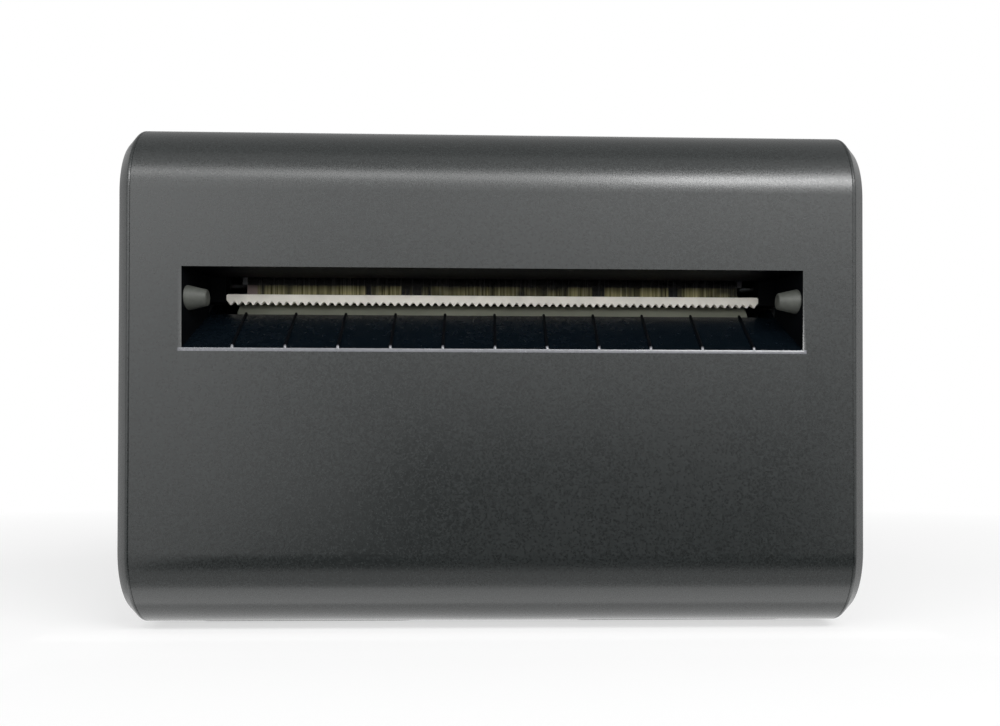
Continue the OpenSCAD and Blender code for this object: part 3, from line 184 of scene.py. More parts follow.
def add_box(low: Point, high: Point, name: str) -> Obj:
    """Adds a box between its lowest and its highest corner."""
    deselect()
    centre = [(a + b) / 2 for a, b in zip(low, high)]
    size = [b - a for a, b in zip(low, high)]
    bpy.ops.mesh.primitive_cube_add(size=1, location=centre, scale=size)
    return settle(bpy.context.object, name)


class Axis(Enum):
    """The way a round primitive's axis points."""

    X = (0.0, math.pi / 2, 0.0)
    Z = (0.0, 0.0, 0.0)


def add_cone(
    centre: Point, radii: Point, length: float, name: str, axis: Axis = Axis.Z, sides: int = 48
) -> Obj:
    """Adds a cut cone round the middle of its axis; radii are those of its foot and its far end."""
    deselect()
    bpy.ops.mesh.primitive_cone_add(
        vertices=sides, radius1=radii[0], radius2=radii[1], depth=length,
        location=centre, rotation=axis.value,
    )
    return settle(bpy.context.object, name)


def add_rod(
    centre: Point, radius: float, length: float, name: str, axis: Axis = Axis.Z, sides: int = 48
) -> Obj:
    """Adds a cylinder; the arguments are those of add_cone."""
    return add_cone(centre, (radius, radius), length, name, axis, sides)


def use_modifier(obj: Obj, kind: str, **settings: object) -> None:
    """Adds a modifier with its settings and applies it at once."""
    take(obj)
    modifier = obj.modifiers.new(kind.title(), kind)
    for key, value in settings.items():
        setattr(modifier, key, value)
    bpy.ops.object.modifier_apply(modifier=modifier.name)


def soften(
    obj: Obj, width: float, segments: int = 2, angle: float = 35.0, smooth: float = 32.0
) -> Obj:
    """Rounds every sharp edge of a piece by a small bevel, then shades it smooth.

    Args:
        obj: The piece to finish.
        width: Width of the bevel.
        segments: Number of strips in the bevel.
        angle: Smallest angle of an edge that counts as sharp, in degrees.
        smooth: Largest angle between faces that are shaded as one, in degrees.

    Returns:
        The same piece.
    """
    use_modifier(
        obj, "BEVEL", width=width, segments=segments, limit_method="ANGLE",
        angle_limit=math.radians(angle), harden_normals=False, use_clamp_overlap=True,
    )
    take(obj)
    bpy.ops.object.shade_smooth_by_angle(angle=math.radians(smooth))
    use_modifier(obj, "WEIGHTED_NORMAL", mode="FACE_AREA", weight=50, keep_sharp=True)
    return obj


def cut(obj: Obj, cutter: Obj) -> Obj:
    """Takes a cutter's shape out of a piece, removes the cutter and returns the piece."""
    use_modifier(obj, "BOOLEAN", operation="DIFFERENCE", solver="EXACT", object=cutter)
    bpy.data.objects.remove(cutter, do_unlink=True)
    return obj


def join(pieces: Sequence[Obj], name: str) -> Obj:
    """Joins several objects into the first one and renames it."""
    deselect()
    for piece in pieces:
        piece.select_set(True)
    bpy.context.view_layer.objects.active = pieces[0]
    bpy.ops.object.join()
    pieces[0].name = name
    pieces[0].data.name = name
    return pieces[0]


def twin(obj: Obj) -> Obj:
    """Copies a piece together with its mesh."""
    made = obj.copy()
    made.data = obj.data.copy()
    bpy.context.collection.objects.link(made)
    return made


def row(obj: Obj, pitch: float, count: int) -> list[Obj]:
    """Lists a piece and its copies at equal steps along X, count pieces in all."""
    made = [obj]
    for i in range(1, count):
        copy = twin(obj)
        copy.location.x = i * pitch
        made.append(settle(copy, obj.name + "_copy"))
    return made


def mirrored(obj: Obj, name: str) -> Obj:
    """Copies a piece to the other side of the middle, with its faces pointing outwards."""
    other = twin(obj)
    other.scale.x = -1
    settle(other, name)
    edit(other)
    face_outwards()
    deselect()
    return other


def round_edges(obj: Obj, test: EdgeTest, radius: float, segments: int) -> None:
    """Rounds the edges that pass a test; the object is in edit mode and stays there."""
    pick(obj, "EDGE", test)
    bpy.ops.mesh.bevel(offset=radius, offset_type="OFFSET", segments=segments, affect="EDGES")


def rounded_block(low: Point, high: Point, radius: float, segments: int, name: str) -> Obj:
    """Adds a box whose four upright edges are rounded."""
    block = add_box(low, high, name)
    edit(block)
    round_edges(block, lambda a, b: near(a.x, b.x) and near(a.y, b.y), radius, segments)
    deselect()
    return block


def bar(low: Point, high: Point, name: str, softness: float = 0.0003) -> Obj:
    """Adds a plain moulded bar or block with softened edges."""
    return soften(add_box(low, high, name), softness)


def skin_box(low: Point, high: Point, left_out: FaceTest, name: str) -> Obj:
    """Adds a box without its X ends and the faces that pass a test, and leaves it in edit mode."""
    skin = add_box(low, high, name)
    edit(skin)
    drop_faces(skin, lambda c, n: abs(n.x) > FLAT or left_out(c, n))
    return skin


def wall_inwards(skin: Obj, thickness: float) -> None:
    """Turns the faces of a skin in edit mode outwards and gives it its wall on the inner side."""
    select_all()
    bpy.ops.mesh.remove_doubles(threshold=1e-6)
    face_outwards()
    deselect()
    middle = Vector(MIDDLE)
    if sum((f.center - middle).dot(f.normal) * f.area for f in skin.data.polygons) < 0:
        edit(skin)
        select_all()
        bpy.ops.mesh.flip_normals()
    use_modifier(skin, "SOLIDIFY", thickness=thickness, offset=-1.0, use_even_offset=True)


def dress(piece: Obj, *finishes: Material) -> Obj:
    """Gives a piece its finishes, the first one all over, and returns the piece."""
    piece.data.materials.clear()
    for finish in finishes:
        piece.data.materials.append(finish)
    return piece


# ---- Finishes --------------------------------------------------------------


def linear(red: int, green: int, blue: int) -> Colour:
    """Turns a display colour of 0 to 255 into the linear colour that a shader takes."""

    def one(value: int) -> float:
        part = value / 255
        return part / 12.92 if part <= 0.04045 else ((part + 0.055) / 1.055) ** 2.4

    return one(red), one(green), one(blue), 1.0


def scaled(colour: Colour, factor: float) -> Colour:
    """Makes a colour paler or darker by a factor."""
    return (*(channel * factor for channel in colour[:3]), 1.0)


class Tree:
    """The node tree of a material or of the world, with short calls to fill it."""

    def __init__(self, owner: Material | bpy.types.World, output: str) -> None:
        """Opens the nodes of a material or world, whose output node is given by name."""
        owner.use_nodes = True
        self.owner = owner
        self.nodes = owner.node_tree.nodes
        self.links = owner.node_tree.links
        self.surface = self.nodes[output].inputs["Surface"]

    def fill(self, socket: Socket, value: object) -> None:
        """Links another socket into a socket, or sets a plain value on it."""
        if isinstance(value, bpy.types.NodeSocket):
            self.links.new(value, socket)
        else:
            socket.default_value = value

    def add(self, kind: str, **inputs: object) -> bpy.types.Node:
        """Adds a node of a kind and fills its inputs.

        Args:
            kind: The node's kind without the ShaderNode prefix.
            **inputs: Values by socket name, spaces as underscores, or by index after an underscore.

        Returns:
            The new node.
        """
        node = self.nodes.new("ShaderNode" + kind)
        for key, value in inputs.items():
            socket = int(key[1:]) if key[0] == "_" else key.replace("_", " ")
            self.fill(node.inputs[socket], value)
        return node

    def maths(self, operation: str, first: object, second: object, clamp: bool = False) -> Socket:
        """Works out one operation on two values and returns the result's socket."""
        node = self.add("Math", _0=first, _1=second)
        node.operation = operation
        node.use_clamp = clamp
        return node.outputs[0]

    def spread(
        self, value: Socket, low: float, high: float, a: float = 0.3, b: float = 0.7
    ) -> Socket:
        """Maps a value from the range a to b onto low to high, clamped."""
        node = self.add("MapRange", Value=value, From_Min=a, From_Max=b, To_Min=low, To_Max=high)
        return node.outputs[0]

    def blend(self, factor: Socket, first: object, second: object) -> Socket:
        """Mixes two colours by a factor and returns the colour's socket."""
        node = self.nodes.new("ShaderNodeMix")
        node.data_type = "RGBA"
        for key, value in (("Factor", factor), ("A", first), ("B", second)):
            self.fill(node.inputs[key], value)
        return node.outputs["Result"]

    def seen(self) -> Socket:
        """Gives 1 to the camera and to what gloss and clear plastic show, 0 to all other light."""
        rays = self.add("LightPath").outputs
        gloss = self.maths("ADD", rays["Is Glossy Ray"], rays["Is Transmission Ray"])
        return self.maths("ADD", rays["Is Camera Ray"], gloss, clamp=True)

    def glow(self, strength: float) -> Socket:
        """Adds a white glow and returns its shader's socket."""
        return self.add("Emission", Color=WHITE, Strength=strength).outputs[0]

    def show(self, factor: Socket, first: Socket, second: Socket) -> None:
        """Sends a mix of two shaders to the surface."""
        mix = self.add("MixShader", _0=factor, _1=first, _2=second)
        self.links.new(mix.outputs[0], self.surface)


class Paint(Tree):
    """A new material with one Principled shader joined to its output."""

    def __init__(self, name: str) -> None:
        """Makes the material under its name."""
        super().__init__(bpy.data.materials.new(name), "Material Output")
        self.shader = self.nodes["Principled BSDF"]
        self.coord = self.nodes.new("ShaderNodeTexCoord").outputs["Object"]

    def feed(self, **inputs: object) -> None:
        """Fills inputs of the Principled shader, named with spaces as underscores."""
        for key, value in inputs.items():
            self.fill(self.shader.inputs[key.replace("_", " ")], value)

    def noise(
        self, scale: float, detail: float = 2.0, rough: float = 0.5, stretch: Point = (1, 1, 1)
    ) -> Socket:
        """Adds noise in the piece's own space.

        Args:
            scale: Features per metre.
            detail: Octaves of finer noise.
            rough: How strong the finer noise is.
            stretch: Scale along each axis.

        Returns:
            The noise's value socket.
        """
        place = self.add("Mapping", Vector=self.coord, Scale=stretch).outputs[0]
        node = self.add("TexNoise", Vector=place, Scale=scale, Detail=detail, Roughness=rough)
        return node.outputs[0]

    def relief(self, height: Socket, depth: float) -> None:
        """Raises the surface by a height of 0 to 1 times a depth."""
        self.feed(Normal=self.add("Bump", Height=height, Distance=depth).outputs[0])


@dataclass(frozen=True)
class Moulded:
    """Moulded plastic: a colour, the grain that its mould gives it, and faint handling marks."""

    name: str
    colour: Colour
    roughness: float = 0.45
    grain: float = 2600.0
    depth: float = 0.00002
    specular: float = 0.5
    contrast: float = 0.14
    marks: float = 22.0

    def build(self) -> Material:
        """Makes the material."""
        paint = Paint(self.name)
        marks = paint.spread(paint.noise(self.marks, 4), -0.03, 0.03)
        fine = paint.noise(self.grain, 3, 0.6)
        dark, pale = scaled(self.colour, 1 - self.contrast), scaled(self.colour, 1 + self.contrast)
        uneven = paint.maths("ADD", marks, paint.spread(fine, -0.04, 0.04))
        paint.feed(
            Base_Color=paint.blend(paint.spread(fine, 0, 1), dark, pale),
            Roughness=paint.maths("ADD", uneven, self.roughness), Specular_IOR_Level=self.specular,
        )
        paint.relief(fine, self.depth)
        return paint.owner


@dataclass(frozen=True)
class SheetMetal:
    """Plated or ground metal with fine lines along one axis and a mottled gloss."""

    name: str
    colour: Colour
    roughness: float
    lines: Point
    line_scale: float
    metallic: float = 1.0
    line_depth: float = 0.000006
    spots: float = 160.0

    def build(self) -> Material:
        """Makes the material."""
        paint = Paint(self.name)
        brushed = paint.noise(self.line_scale, 3, 0.6, self.lines)
        spots = paint.spread(paint.noise(self.spots, 4, 0.6), 0, 1)
        paint.feed(
            Base_Color=paint.blend(spots, scaled(self.colour, 0.8), self.colour),
            Metallic=self.metallic,
            Roughness=paint.spread(brushed, self.roughness - 0.06, self.roughness + 0.08),
        )
        paint.relief(brushed, self.line_depth)
        return paint.owner


@dataclass(frozen=True)
class Rubber:
    """Rubber with a ground skin and a little bloom."""

    name: str
    colour: Colour
    roughness: float
    lines: Point = (1, 1, 1)
    grain: float = 2400.0
    bloom: float = 60.0

    def build(self) -> Material:
        """Makes the material."""
        paint = Paint(self.name)
        ground = paint.noise(self.grain, 3, 0.6, self.lines)
        bloom = paint.spread(paint.noise(self.bloom, 4), 0, 1)
        paint.feed(
            Base_Color=paint.blend(bloom, self.colour, scaled(self.colour, 1.35)),
            Specular_IOR_Level=0.35,
            Roughness=paint.spread(ground, self.roughness - 0.06, self.roughness + 0.1),
        )
        paint.relief(ground, 0.00002)
        return paint.owner


@dataclass(frozen=True)
class CircuitBoard:
    """Green solder mask over copper tracks, darker between the tracks."""

    name: str
    mask: Colour = linear(26, 84, 46)
    track: Colour = linear(44, 118, 62)
    cells: float = 420.0

    def build(self) -> Material:
        """Makes the material."""
        paint = Paint(self.name)
        cells = paint.add("TexVoronoi", Vector=paint.coord, Scale=self.cells, Randomness=0.55)
        cells.distance = "MANHATTAN"
        tracks = paint.spread(cells.outputs[0], 0, 1, 0.28, 0.36)
        gloss = paint.spread(paint.noise(300), 0.25, 0.4)
        paint.feed(Base_Color=paint.blend(tracks, self.mask, self.track), Roughness=gloss)
        paint.relief(tracks, 0.00003)
        return paint.owner


@dataclass(frozen=True)
class HeadGlaze:
    """The print head's glazed front: olive and dark conductor lines, bare at the left end, with
    painted shade that darkens it to near black towards its top.
    """

    name: str
    lines: float = 1500.0
    groups: float = 240.0
    patches: float = 90.0
    # Heights between which painted shade darkens the glaze to near black.
    shade_from: float = 0.0711
    shade_to: float = 0.073
    bare_end: float = -0.0515

    def build(self) -> Material:
        """Makes the material."""
        paint = Paint(self.name)
        lines = paint.noise(self.lines, 2, 0.7, (1, 0.02, 0.02))
        groups = paint.noise(self.groups, 3, 0.7, (1, 0.02, 0.05))
        patches = paint.noise(self.patches, 2, 0.6, (1, 0.1, 1.6))
        fine = paint.spread(lines, 0, 1, 0.35, 0.6)
        olive = paint.blend(fine, linear(104, 98, 56), linear(222, 212, 152))
        grouped = paint.blend(paint.spread(groups, 0, 1, 0.38, 0.52), linear(14, 15, 12), olive)
        glazed = paint.blend(paint.spread(patches, 0, 1, 0.3, 0.5), linear(40, 39, 26), grouped)
        where = paint.add("SeparateXYZ", Vector=paint.coord).outputs
        bare = paint.spread(where[0], 1, 0, self.bare_end, self.bare_end + 0.0004)
        front = paint.blend(bare, glazed, linear(196, 172, 164))
        # Painted shade: towards its top the glaze blends into near black, standing in for the shade
        # inside the slot.
        painted_shade = paint.spread(where[2], 0, 1, self.shade_from, self.shade_to)
        paint.feed(
            Base_Color=paint.blend(painted_shade, front, linear(3, 3, 3)),
            Roughness=paint.spread(lines, 0.18, 0.32), Coat_Weight=0.4,
        )
        paint.relief(lines, 0.00001)
        return paint.owner


@dataclass(frozen=True)
class ClearPipe:
    """A clear plastic light pipe."""

    name: str

    def build(self) -> Material:
        """Makes the material."""
        paint = Paint(self.name)
        gloss = paint.spread(paint.noise(900), 0.08, 0.2)
        paint.feed(Base_Color=linear(214, 228, 220), Transmission_Weight=0.85)
        paint.feed(IOR=1.49, Roughness=gloss)
        return paint.owner


def finishes() -> dict[str, Material]:
    """Builds every finish once and gives the materials by name, which for most is a slot's name."""
    made = (
        Moulded("case_abs", linear(26, 29, 29), 0.275, 2300, 0.000011, contrast=0.4),
        # The funnel's ramp finish and its walls' and roof's shade_abs are much darker than the
        # case: painted shade for the slot's dark inside.
        Moulded("gloss_abs", linear(5, 10, 15), 0.25, 600, 0.000003, 0.2),
        Moulded("shade_abs", linear(2, 3, 5), 0.6, 1200, 0.00001, 0.05),
        # The lip's finish is far paler than the case: a painted highlight along the slot's lower
        # lip and the ribs' noses.
        Moulded("lip_abs", linear(82, 83, 88), 0.24, 1500, 0.000004, 0.6),
        # The bosses' finish is paler than the case: a painted highlight for the light that reaches
        # them at the slot's mouth.
        Moulded("boss_abs", linear(62, 64, 60), 0.5, 1500, 0.00001, 0.3),
        Moulded("inner_abs", linear(34, 36, 38), 0.5),
        Rubber("foot_rubber", linear(22, 22, 23), 0.75),
        Rubber("platen_rubber", linear(122, 124, 112), 0.6, (0.05, 1, 1)),
        SheetMetal("zinc_steel", linear(168, 172, 174), 0.36, (1, 1, 0.2), 500),
        SheetMetal("bright_steel", linear(196, 198, 200), 0.2, (0.1, 1, 1), 1200),
        SheetMetal("tear_steel", linear(255, 251, 240), 0.5, (0.05, 1, 1), 1500, metallic=0.0),
        SheetMetal("screw_steel", linear(150, 152, 156), 0.3, (1, 1, 1), 1600),
        SheetMetal("aluminium", linear(190, 193, 196), 0.34, (0.05, 1, 1), 900),
        HeadGlaze("head_ceramic"),
        Moulded("acetal", linear(226, 222, 208), 0.36, 1400, 0.000006),
        SheetMetal("brass", linear(190, 160, 92), 0.28, (1, 1, 1), 1200),
        SheetMetal("motor_can", linear(140, 143, 146), 0.38, (0.2, 1, 1), 700),
        CircuitBoard("circuit_green"),
        Moulded("port_black", linear(18, 18, 19), 0.4, 1800, 0.000008),
        SheetMetal("port_shell", linear(186, 189, 192), 0.28, (1, 0.2, 1), 900),
        Moulded("lever_green", linear(48, 112, 66), 0.4, 1800, 0.00001),
        Moulded("guide_grey", linear(98, 102, 104), 0.46, 2200, 0.000014),
        Moulded("button_grey", linear(64, 68, 70), 0.4, 2200, 0.000014),
        ClearPipe("light_clear"),
    )
    return {finish.name: finish.build() for finish in made}


# ---- Covers ----------------------------------------------------------------


@dataclass(frozen=True)
class Casing:
    """Outer sizes that the covers share."""

    half_width: float = 0.075
    front: float = -0.085
    rear: float = 0.085
    bottom: float = 0.001
    top: float = 0.104
    wall: float = 0.0025
    seam: float = 0.072
    inner_half: float = 0.0697
    front_radius: float = 0.0155
    rear_radius: float = 0.008
    land_back: float = -0.049
    gap: float = 0.0003
    front_screw: Point = (0.036, -0.052)
    rear_screw: Point = (0.0635, 0.073)

    @property
    def roof(self) -> float:
        """The height of the top wall's underside."""
        return self.top - self.wall

    @property
    def floor(self) -> float:
        """The height of the floor's upper face."""
        return self.bottom + self.wall


@dataclass(frozen=True)
class PadPair:
    """Two stadium-shaped rubber pads, one on each side under the casing."""

    length: float
    y: float
    width: float = 0.01
    inset: float = 0.015
    height: float = 0.0018
    recess: float = 0.0008
    play: float = 0.0002
    softness: float = 0.0004

    def block(self, side: int, name: str, high: float, shrink: float = 0.0) -> Obj:
        """Models one pad's block up to a height, half-round at its ends, drawn in by a shrink."""
        x = span(side, self.inset + shrink, self.inset + self.length - shrink)
        low, far = (x[0], self.y + shrink, 0.0), (x[1], self.y + self.width - shrink, high)
        return rounded_block(low, far, self.width / 2 - shrink - 0.00001, 16, name)

    def cut_recess(self, cover: Obj, side: int, bottom: float) -> None:
        """Cuts one pad's recess into a cover's underside."""
        cut(cover, self.block(side, "recess", bottom + self.recess))

    def build(self, name: str, finish: Material) -> Obj:
        """Models both pads as one piece."""
        pads = [self.block(side, "pad", self.height, self.play) for side in SIDES]
        return dress(join([soften(pad, self.softness, 3, 50) for pad in pads], name), finish)


FRONT_PADS = PadPair(0.051, -0.0655)
REAR_PADS = PadPair(0.02, 0.063)


class Area(Enum):
    """The finishes on the front shell, by the name of their material: the case's own finish,
    painted shade inside the funnel and a painted highlight on the lip.
    """

    CASE = "case_abs"
    RAMP = "gloss_abs"
    SHADE = "shade_abs"
    LIP = "lip_abs"


@dataclass(frozen=True)
class FrontShell:
    """The rounded front cover with its paper slot, ribs, bosses and button hole."""

    casing: Casing
    slot_half: float = 0.0619
    slot_low: float = 0.0571
    slot_high: float = 0.07315
    funnel_depth: float = 0.012
    ramp_rise: float = 0.0083
    end_lean: float = 0.0023
    lip_height: float = 0.0007
    lip_depth: float = 0.00024
    edge_softness: float = 0.00015
    boss_depth: float = 0.0032
    boss_rise: float = 0.0103
    boss_out: float = 0.0016
    boss_radii: Point = (0.00262, 0.0016)
    boss_length: float = 0.0044
    button_radius: float = 0.0048
    hole_below: float = 0.002
    hole_length: float = 0.009
    dish_radii: Point = (0.0058, 0.0071)
    dish_length: float = 0.0012
    dish_depth: float = 0.0008
    light: Point = (0.033, -0.059)
    light_radius: float = 0.00155
    ribs: int = 11
    rib_pitch: float = 0.01041
    rib_half: float = 0.0003
    rib_rise: float = 0.0006
    rib_sunk: float = 0.0004
    rib_lean: float = 0.0003
    sleeve_radius: float = 0.0063
    sleeve_length: float = 0.0028
    post_offsets: tuple[Point, ...] = ((-0.008, 0.0035), (0.0085, 0.0))
    post_radius: float = 0.0024
    post_length: float = 0.0094
    post_bore: float = 0.00105
    bore_length: float = 0.006
    screw_radius: float = 0.0016
    head_radius: float = 0.0029
    head_length: float = 0.0036

    @property
    def lip_back(self) -> float:
        """The Y where the lip ends and the funnel begins."""
        return self.casing.front + self.lip_depth + HAIR

    @property
    def funnel_back(self) -> float:
        """The Y of the funnel's inner end."""
        return self.casing.front + self.funnel_depth

    def build(self, made: dict[str, Material]) -> Obj:
        """Models the shell and all that is moulded with it, from the materials by name."""
        shell = self.wrap()
        self.open_slot(shell)
        wall_inwards(shell, self.casing.wall)
        self.drill_top(shell)
        self.drill_floor(shell)
        soften(shell, self.edge_softness, 3, 30, 14)
        ribs = join(self.rib_row(), "ribs")
        order = {area: index for index, area in enumerate(Area)}
        for piece, choose in ((shell, self.shell_area), (ribs, self.rib_area)):
            dress(piece, *(made[area.value] for area in Area))
            for face in piece.data.polygons:
                face.material_index = order[choose(face.center, face.normal)]
        # Painted highlight: the bosses take the pale finish.
        bosses = [dress(piece, made["boss_abs"]) for piece in self.cone_bosses()]
        rest = [dress(piece, made["case_abs"]) for piece in (self.ledge(), *self.posts())]
        return join([shell, ribs, *bosses, *rest], "front_cover")

    def shell_area(self, place: Vector, normal: Vector) -> Area:
        """Tells which finish a face of the shell takes: a painted highlight on the lip, painted
        shade in the funnel.
        """
        # Painted shade: the funnel's faces take the dark finishes.
        if self.in_funnel(place):
            return Area.RAMP if normal.z > 0.3 else Area.SHADE
        # The lip's strip takes the pale finish, a painted highlight.
        at_lip = self.slot_low - self.lip_height - 1.5 * HAIR < place.z < self.slot_low + 0.5 * HAIR
        in_front = place.y < self.lip_back and abs(place.x) < self.slot_half + 4 * HAIR
        leans = 0.08 < normal.z < FLAT
        return Area.LIP if at_lip and in_front and leans else Area.CASE

    def rib_area(self, place: Vector, normal: Vector) -> Area:
        """Tells which finish a face of a rib takes: a painted highlight at the lip, painted shade
        on the ramp.
        """
        at_lip = place.y < self.casing.front + 7 * HAIR and abs(normal.x) < 0.8
        return Area.LIP if at_lip else Area.SHADE

    def in_funnel(self, place: Vector) -> bool:
        """Whether a point of the shell lies on the funnel's inner faces."""
        deep = self.lip_back < place.y < self.funnel_back + 3 * HAIR
        high = self.slot_low - HAIR < place.z < self.slot_high + 3 * HAIR
        return deep and high and abs(place.x) < self.slot_half + 3 * HAIR

    def wrap(self) -> Obj:
        """Bends the outer skin round the two front edges and leaves its back and ends open."""
        case = self.casing
        low, high = (-case.seam, case.front, case.bottom), (case.seam, case.land_back, case.top)
        shell = skin_box(low, high, lambda c, n: n.y > FLAT, "front_cover")
        round_edges(shell, along_x(case.front), case.front_radius, 28)
        return shell

    def open_slot(self, shell: Obj) -> None:
        """Cuts the slot's outline into a skin in edit mode and draws it back into the funnel."""
        half, low, back = self.slot_half, self.slot_low, self.funnel_back
        end = half + self.lip_height
        planes = [((x, 0, 0), (1, 0, 0)) for x in (-half, half, -end, end)]
        planes += [((0, 0, z), (0, 0, 1)) for z in (low, self.slot_high, low - self.lip_height)]
        for place, normal in planes:
            select_all()
            bpy.ops.mesh.bisect(plane_co=place, plane_no=normal)
        pick(shell, "FACE", self.in_slot)
        inwards = {"value": (0, self.funnel_depth, 0)}
        bpy.ops.mesh.extrude_region_move(TRANSFORM_OT_translate=inwards)
        bpy.ops.mesh.delete(type="FACE")
        move_points(shell, lambda p: near(p.y, back) and near(p.z, low), (0, 0, self.ramp_rise))
        for side in SIDES:
            lean = (-side * self.end_lean, 0, 0)
            move_points(shell, lambda p, s=side: near(p.y, back) and near(p.x, s * half), lean)
        edge = half + 1e-5
        move_points(
            shell, lambda p: near(p.y, self.casing.front) and near(p.z, low) and abs(p.x) < edge,
            (0, self.lip_depth, 0),
        )

    def in_slot(self, centre: Vector, normal: Vector) -> bool:
        """Whether a face of the skin lies inside the slot's outline."""
        inside = abs(centre.x) < self.slot_half and self.slot_low < centre.z < self.slot_high
        return inside and near(centre.y, self.casing.front, HAIR)

    def drill_top(self, shell: Obj) -> None:
        """Cuts the feed button's dished hole and the light's hole through the top."""
        case = self.casing
        dish_z = case.top - self.dish_depth + self.dish_length / 2
        hole_z = case.top - self.hole_below
        cut(shell, add_rod((*BUTTON, hole_z), self.button_radius, self.hole_length, "hole"))
        cut(shell, add_cone((*BUTTON, dish_z), self.dish_radii, self.dish_length, "dish", sides=64))
        cut(shell, add_rod((*self.light, hole_z), self.light_radius, self.hole_length, "light"))

    def drill_floor(self, shell: Obj) -> None:
        """Cuts the pads' recesses and the two counterbored screw holes into the underside."""
        x, y = self.casing.front_screw
        for side in SIDES:
            place = (side * x, y, self.casing.bottom)
            FRONT_PADS.cut_recess(shell, side, self.casing.bottom)
            cut(shell, add_rod(place, self.head_radius, self.head_length, "counterbore"))
            cut(shell, add_rod(place, self.screw_radius, THROUGH, "bore", sides=32))

    def rib_row(self) -> list[Obj]:
        """Models one rib along the ramp and copies it across the slot."""
        first = -(self.ribs - 1) / 2 * self.rib_pitch
        front, back = self.casing.front + HAIR, self.funnel_back + self.rib_sunk
        low = (first - self.rib_half, front, self.slot_low - self.rib_sunk)
        rib = add_box(low, (first + self.rib_half, back, self.slot_low + self.rib_rise), "rib")
        edit(rib)
        move_points(rib, lambda p: near(p.y, back), (0, 0, self.ramp_rise))
        move_points(rib, lambda p: near(p.y, front) and p.z > self.slot_low, (0, self.rib_lean, 0))
        return row(soften(rib, 0.0002, 2, 30), self.rib_pitch, self.ribs)

    def cone_bosses(self) -> list[Obj]:
        """Models the boss on each end wall of the funnel."""
        wall_x = self.slot_half - self.end_lean * self.boss_depth / self.funnel_depth
        y, z = self.casing.front + self.boss_depth, self.slot_low + self.boss_rise
        place = (self.boss_out - wall_x, y, z)
        boss = add_cone(place, self.boss_radii, self.boss_length, "cone_boss", Axis.X, 56)
        soften(boss, 0.0003, 3, 50)
        return [boss, mirrored(boss, "cone_boss_right")]

    def posts(self) -> list[Obj]:
        """Models the button's sleeve and the posts of its board under the top wall."""
        roof = self.casing.roof
        sleeve_at = (*BUTTON, roof + SUNK - self.sleeve_length / 2)
        sleeve = add_rod(sleeve_at, self.sleeve_radius, self.sleeve_length, "sleeve")
        made = [cut(sleeve, add_rod(sleeve_at, self.button_radius, THROUGH, "hole"))]
        for dx, dy in self.post_offsets:
            x, y = BUTTON[0] + dx, BUTTON[1] + dy
            middle = roof + HAIR - self.post_length / 2
            post = add_rod((x, y, middle), self.post_radius, self.post_length, "post", sides=32)
            foot = (x, y, roof - self.post_length)
            bore = add_rod(foot, self.post_bore, 2 * self.bore_length, "bore", sides=24)
            made.append(cut(post, bore))
        return [soften(piece, 0.00015, 1) for piece in made]

    def ledge(self) -> Obj:
        """Models the ledge under the lid's front edge."""
        case = self.casing
        low = (-case.inner_half, case.land_back - 0.006, case.roof - 0.0019)
        return bar(low, (case.inner_half, case.land_back + 0.003, case.roof - case.gap), "ledge")


@dataclass(frozen=True)
class Hinge:
    """Where the lid's hinge lies and how its knuckles share it."""

    y: float = 0.073
    z: float = 0.1002
    radius: float = 0.0035
    neck: float = 0.0039
    knuckles: tuple[tuple[float, float], ...] = ((0.0338, 0.0398), (0.0522, 0.0582))
    side_gap: float = 0.0002

    def rear_runs(self) -> list[tuple[float, float]]:
        """Lists the start and end along X of each length of barrel that the rear panel carries."""
        return sorted([(-b, -a) for a, b in self.knuckles] + list(self.knuckles))

    def lid_runs(self, reach: float) -> list[tuple[float, float]]:
        """Lists the start and end along X of each length that a lid as wide as 2 reach carries."""
        runs, start = [], -reach
        for low, high in self.rear_runs():
            runs.append((start, low - self.side_gap))
            start = high + self.side_gap
        runs.append((start, reach))
        return runs

    def rod(self, x0: float, x1: float, name: str) -> Obj:
        """Models one length of barrel with softened ends."""
        middle = ((x0 + x1) / 2, self.y, self.z)
        return soften(add_rod(middle, self.radius, x1 - x0, name, Axis.X), 0.0003)


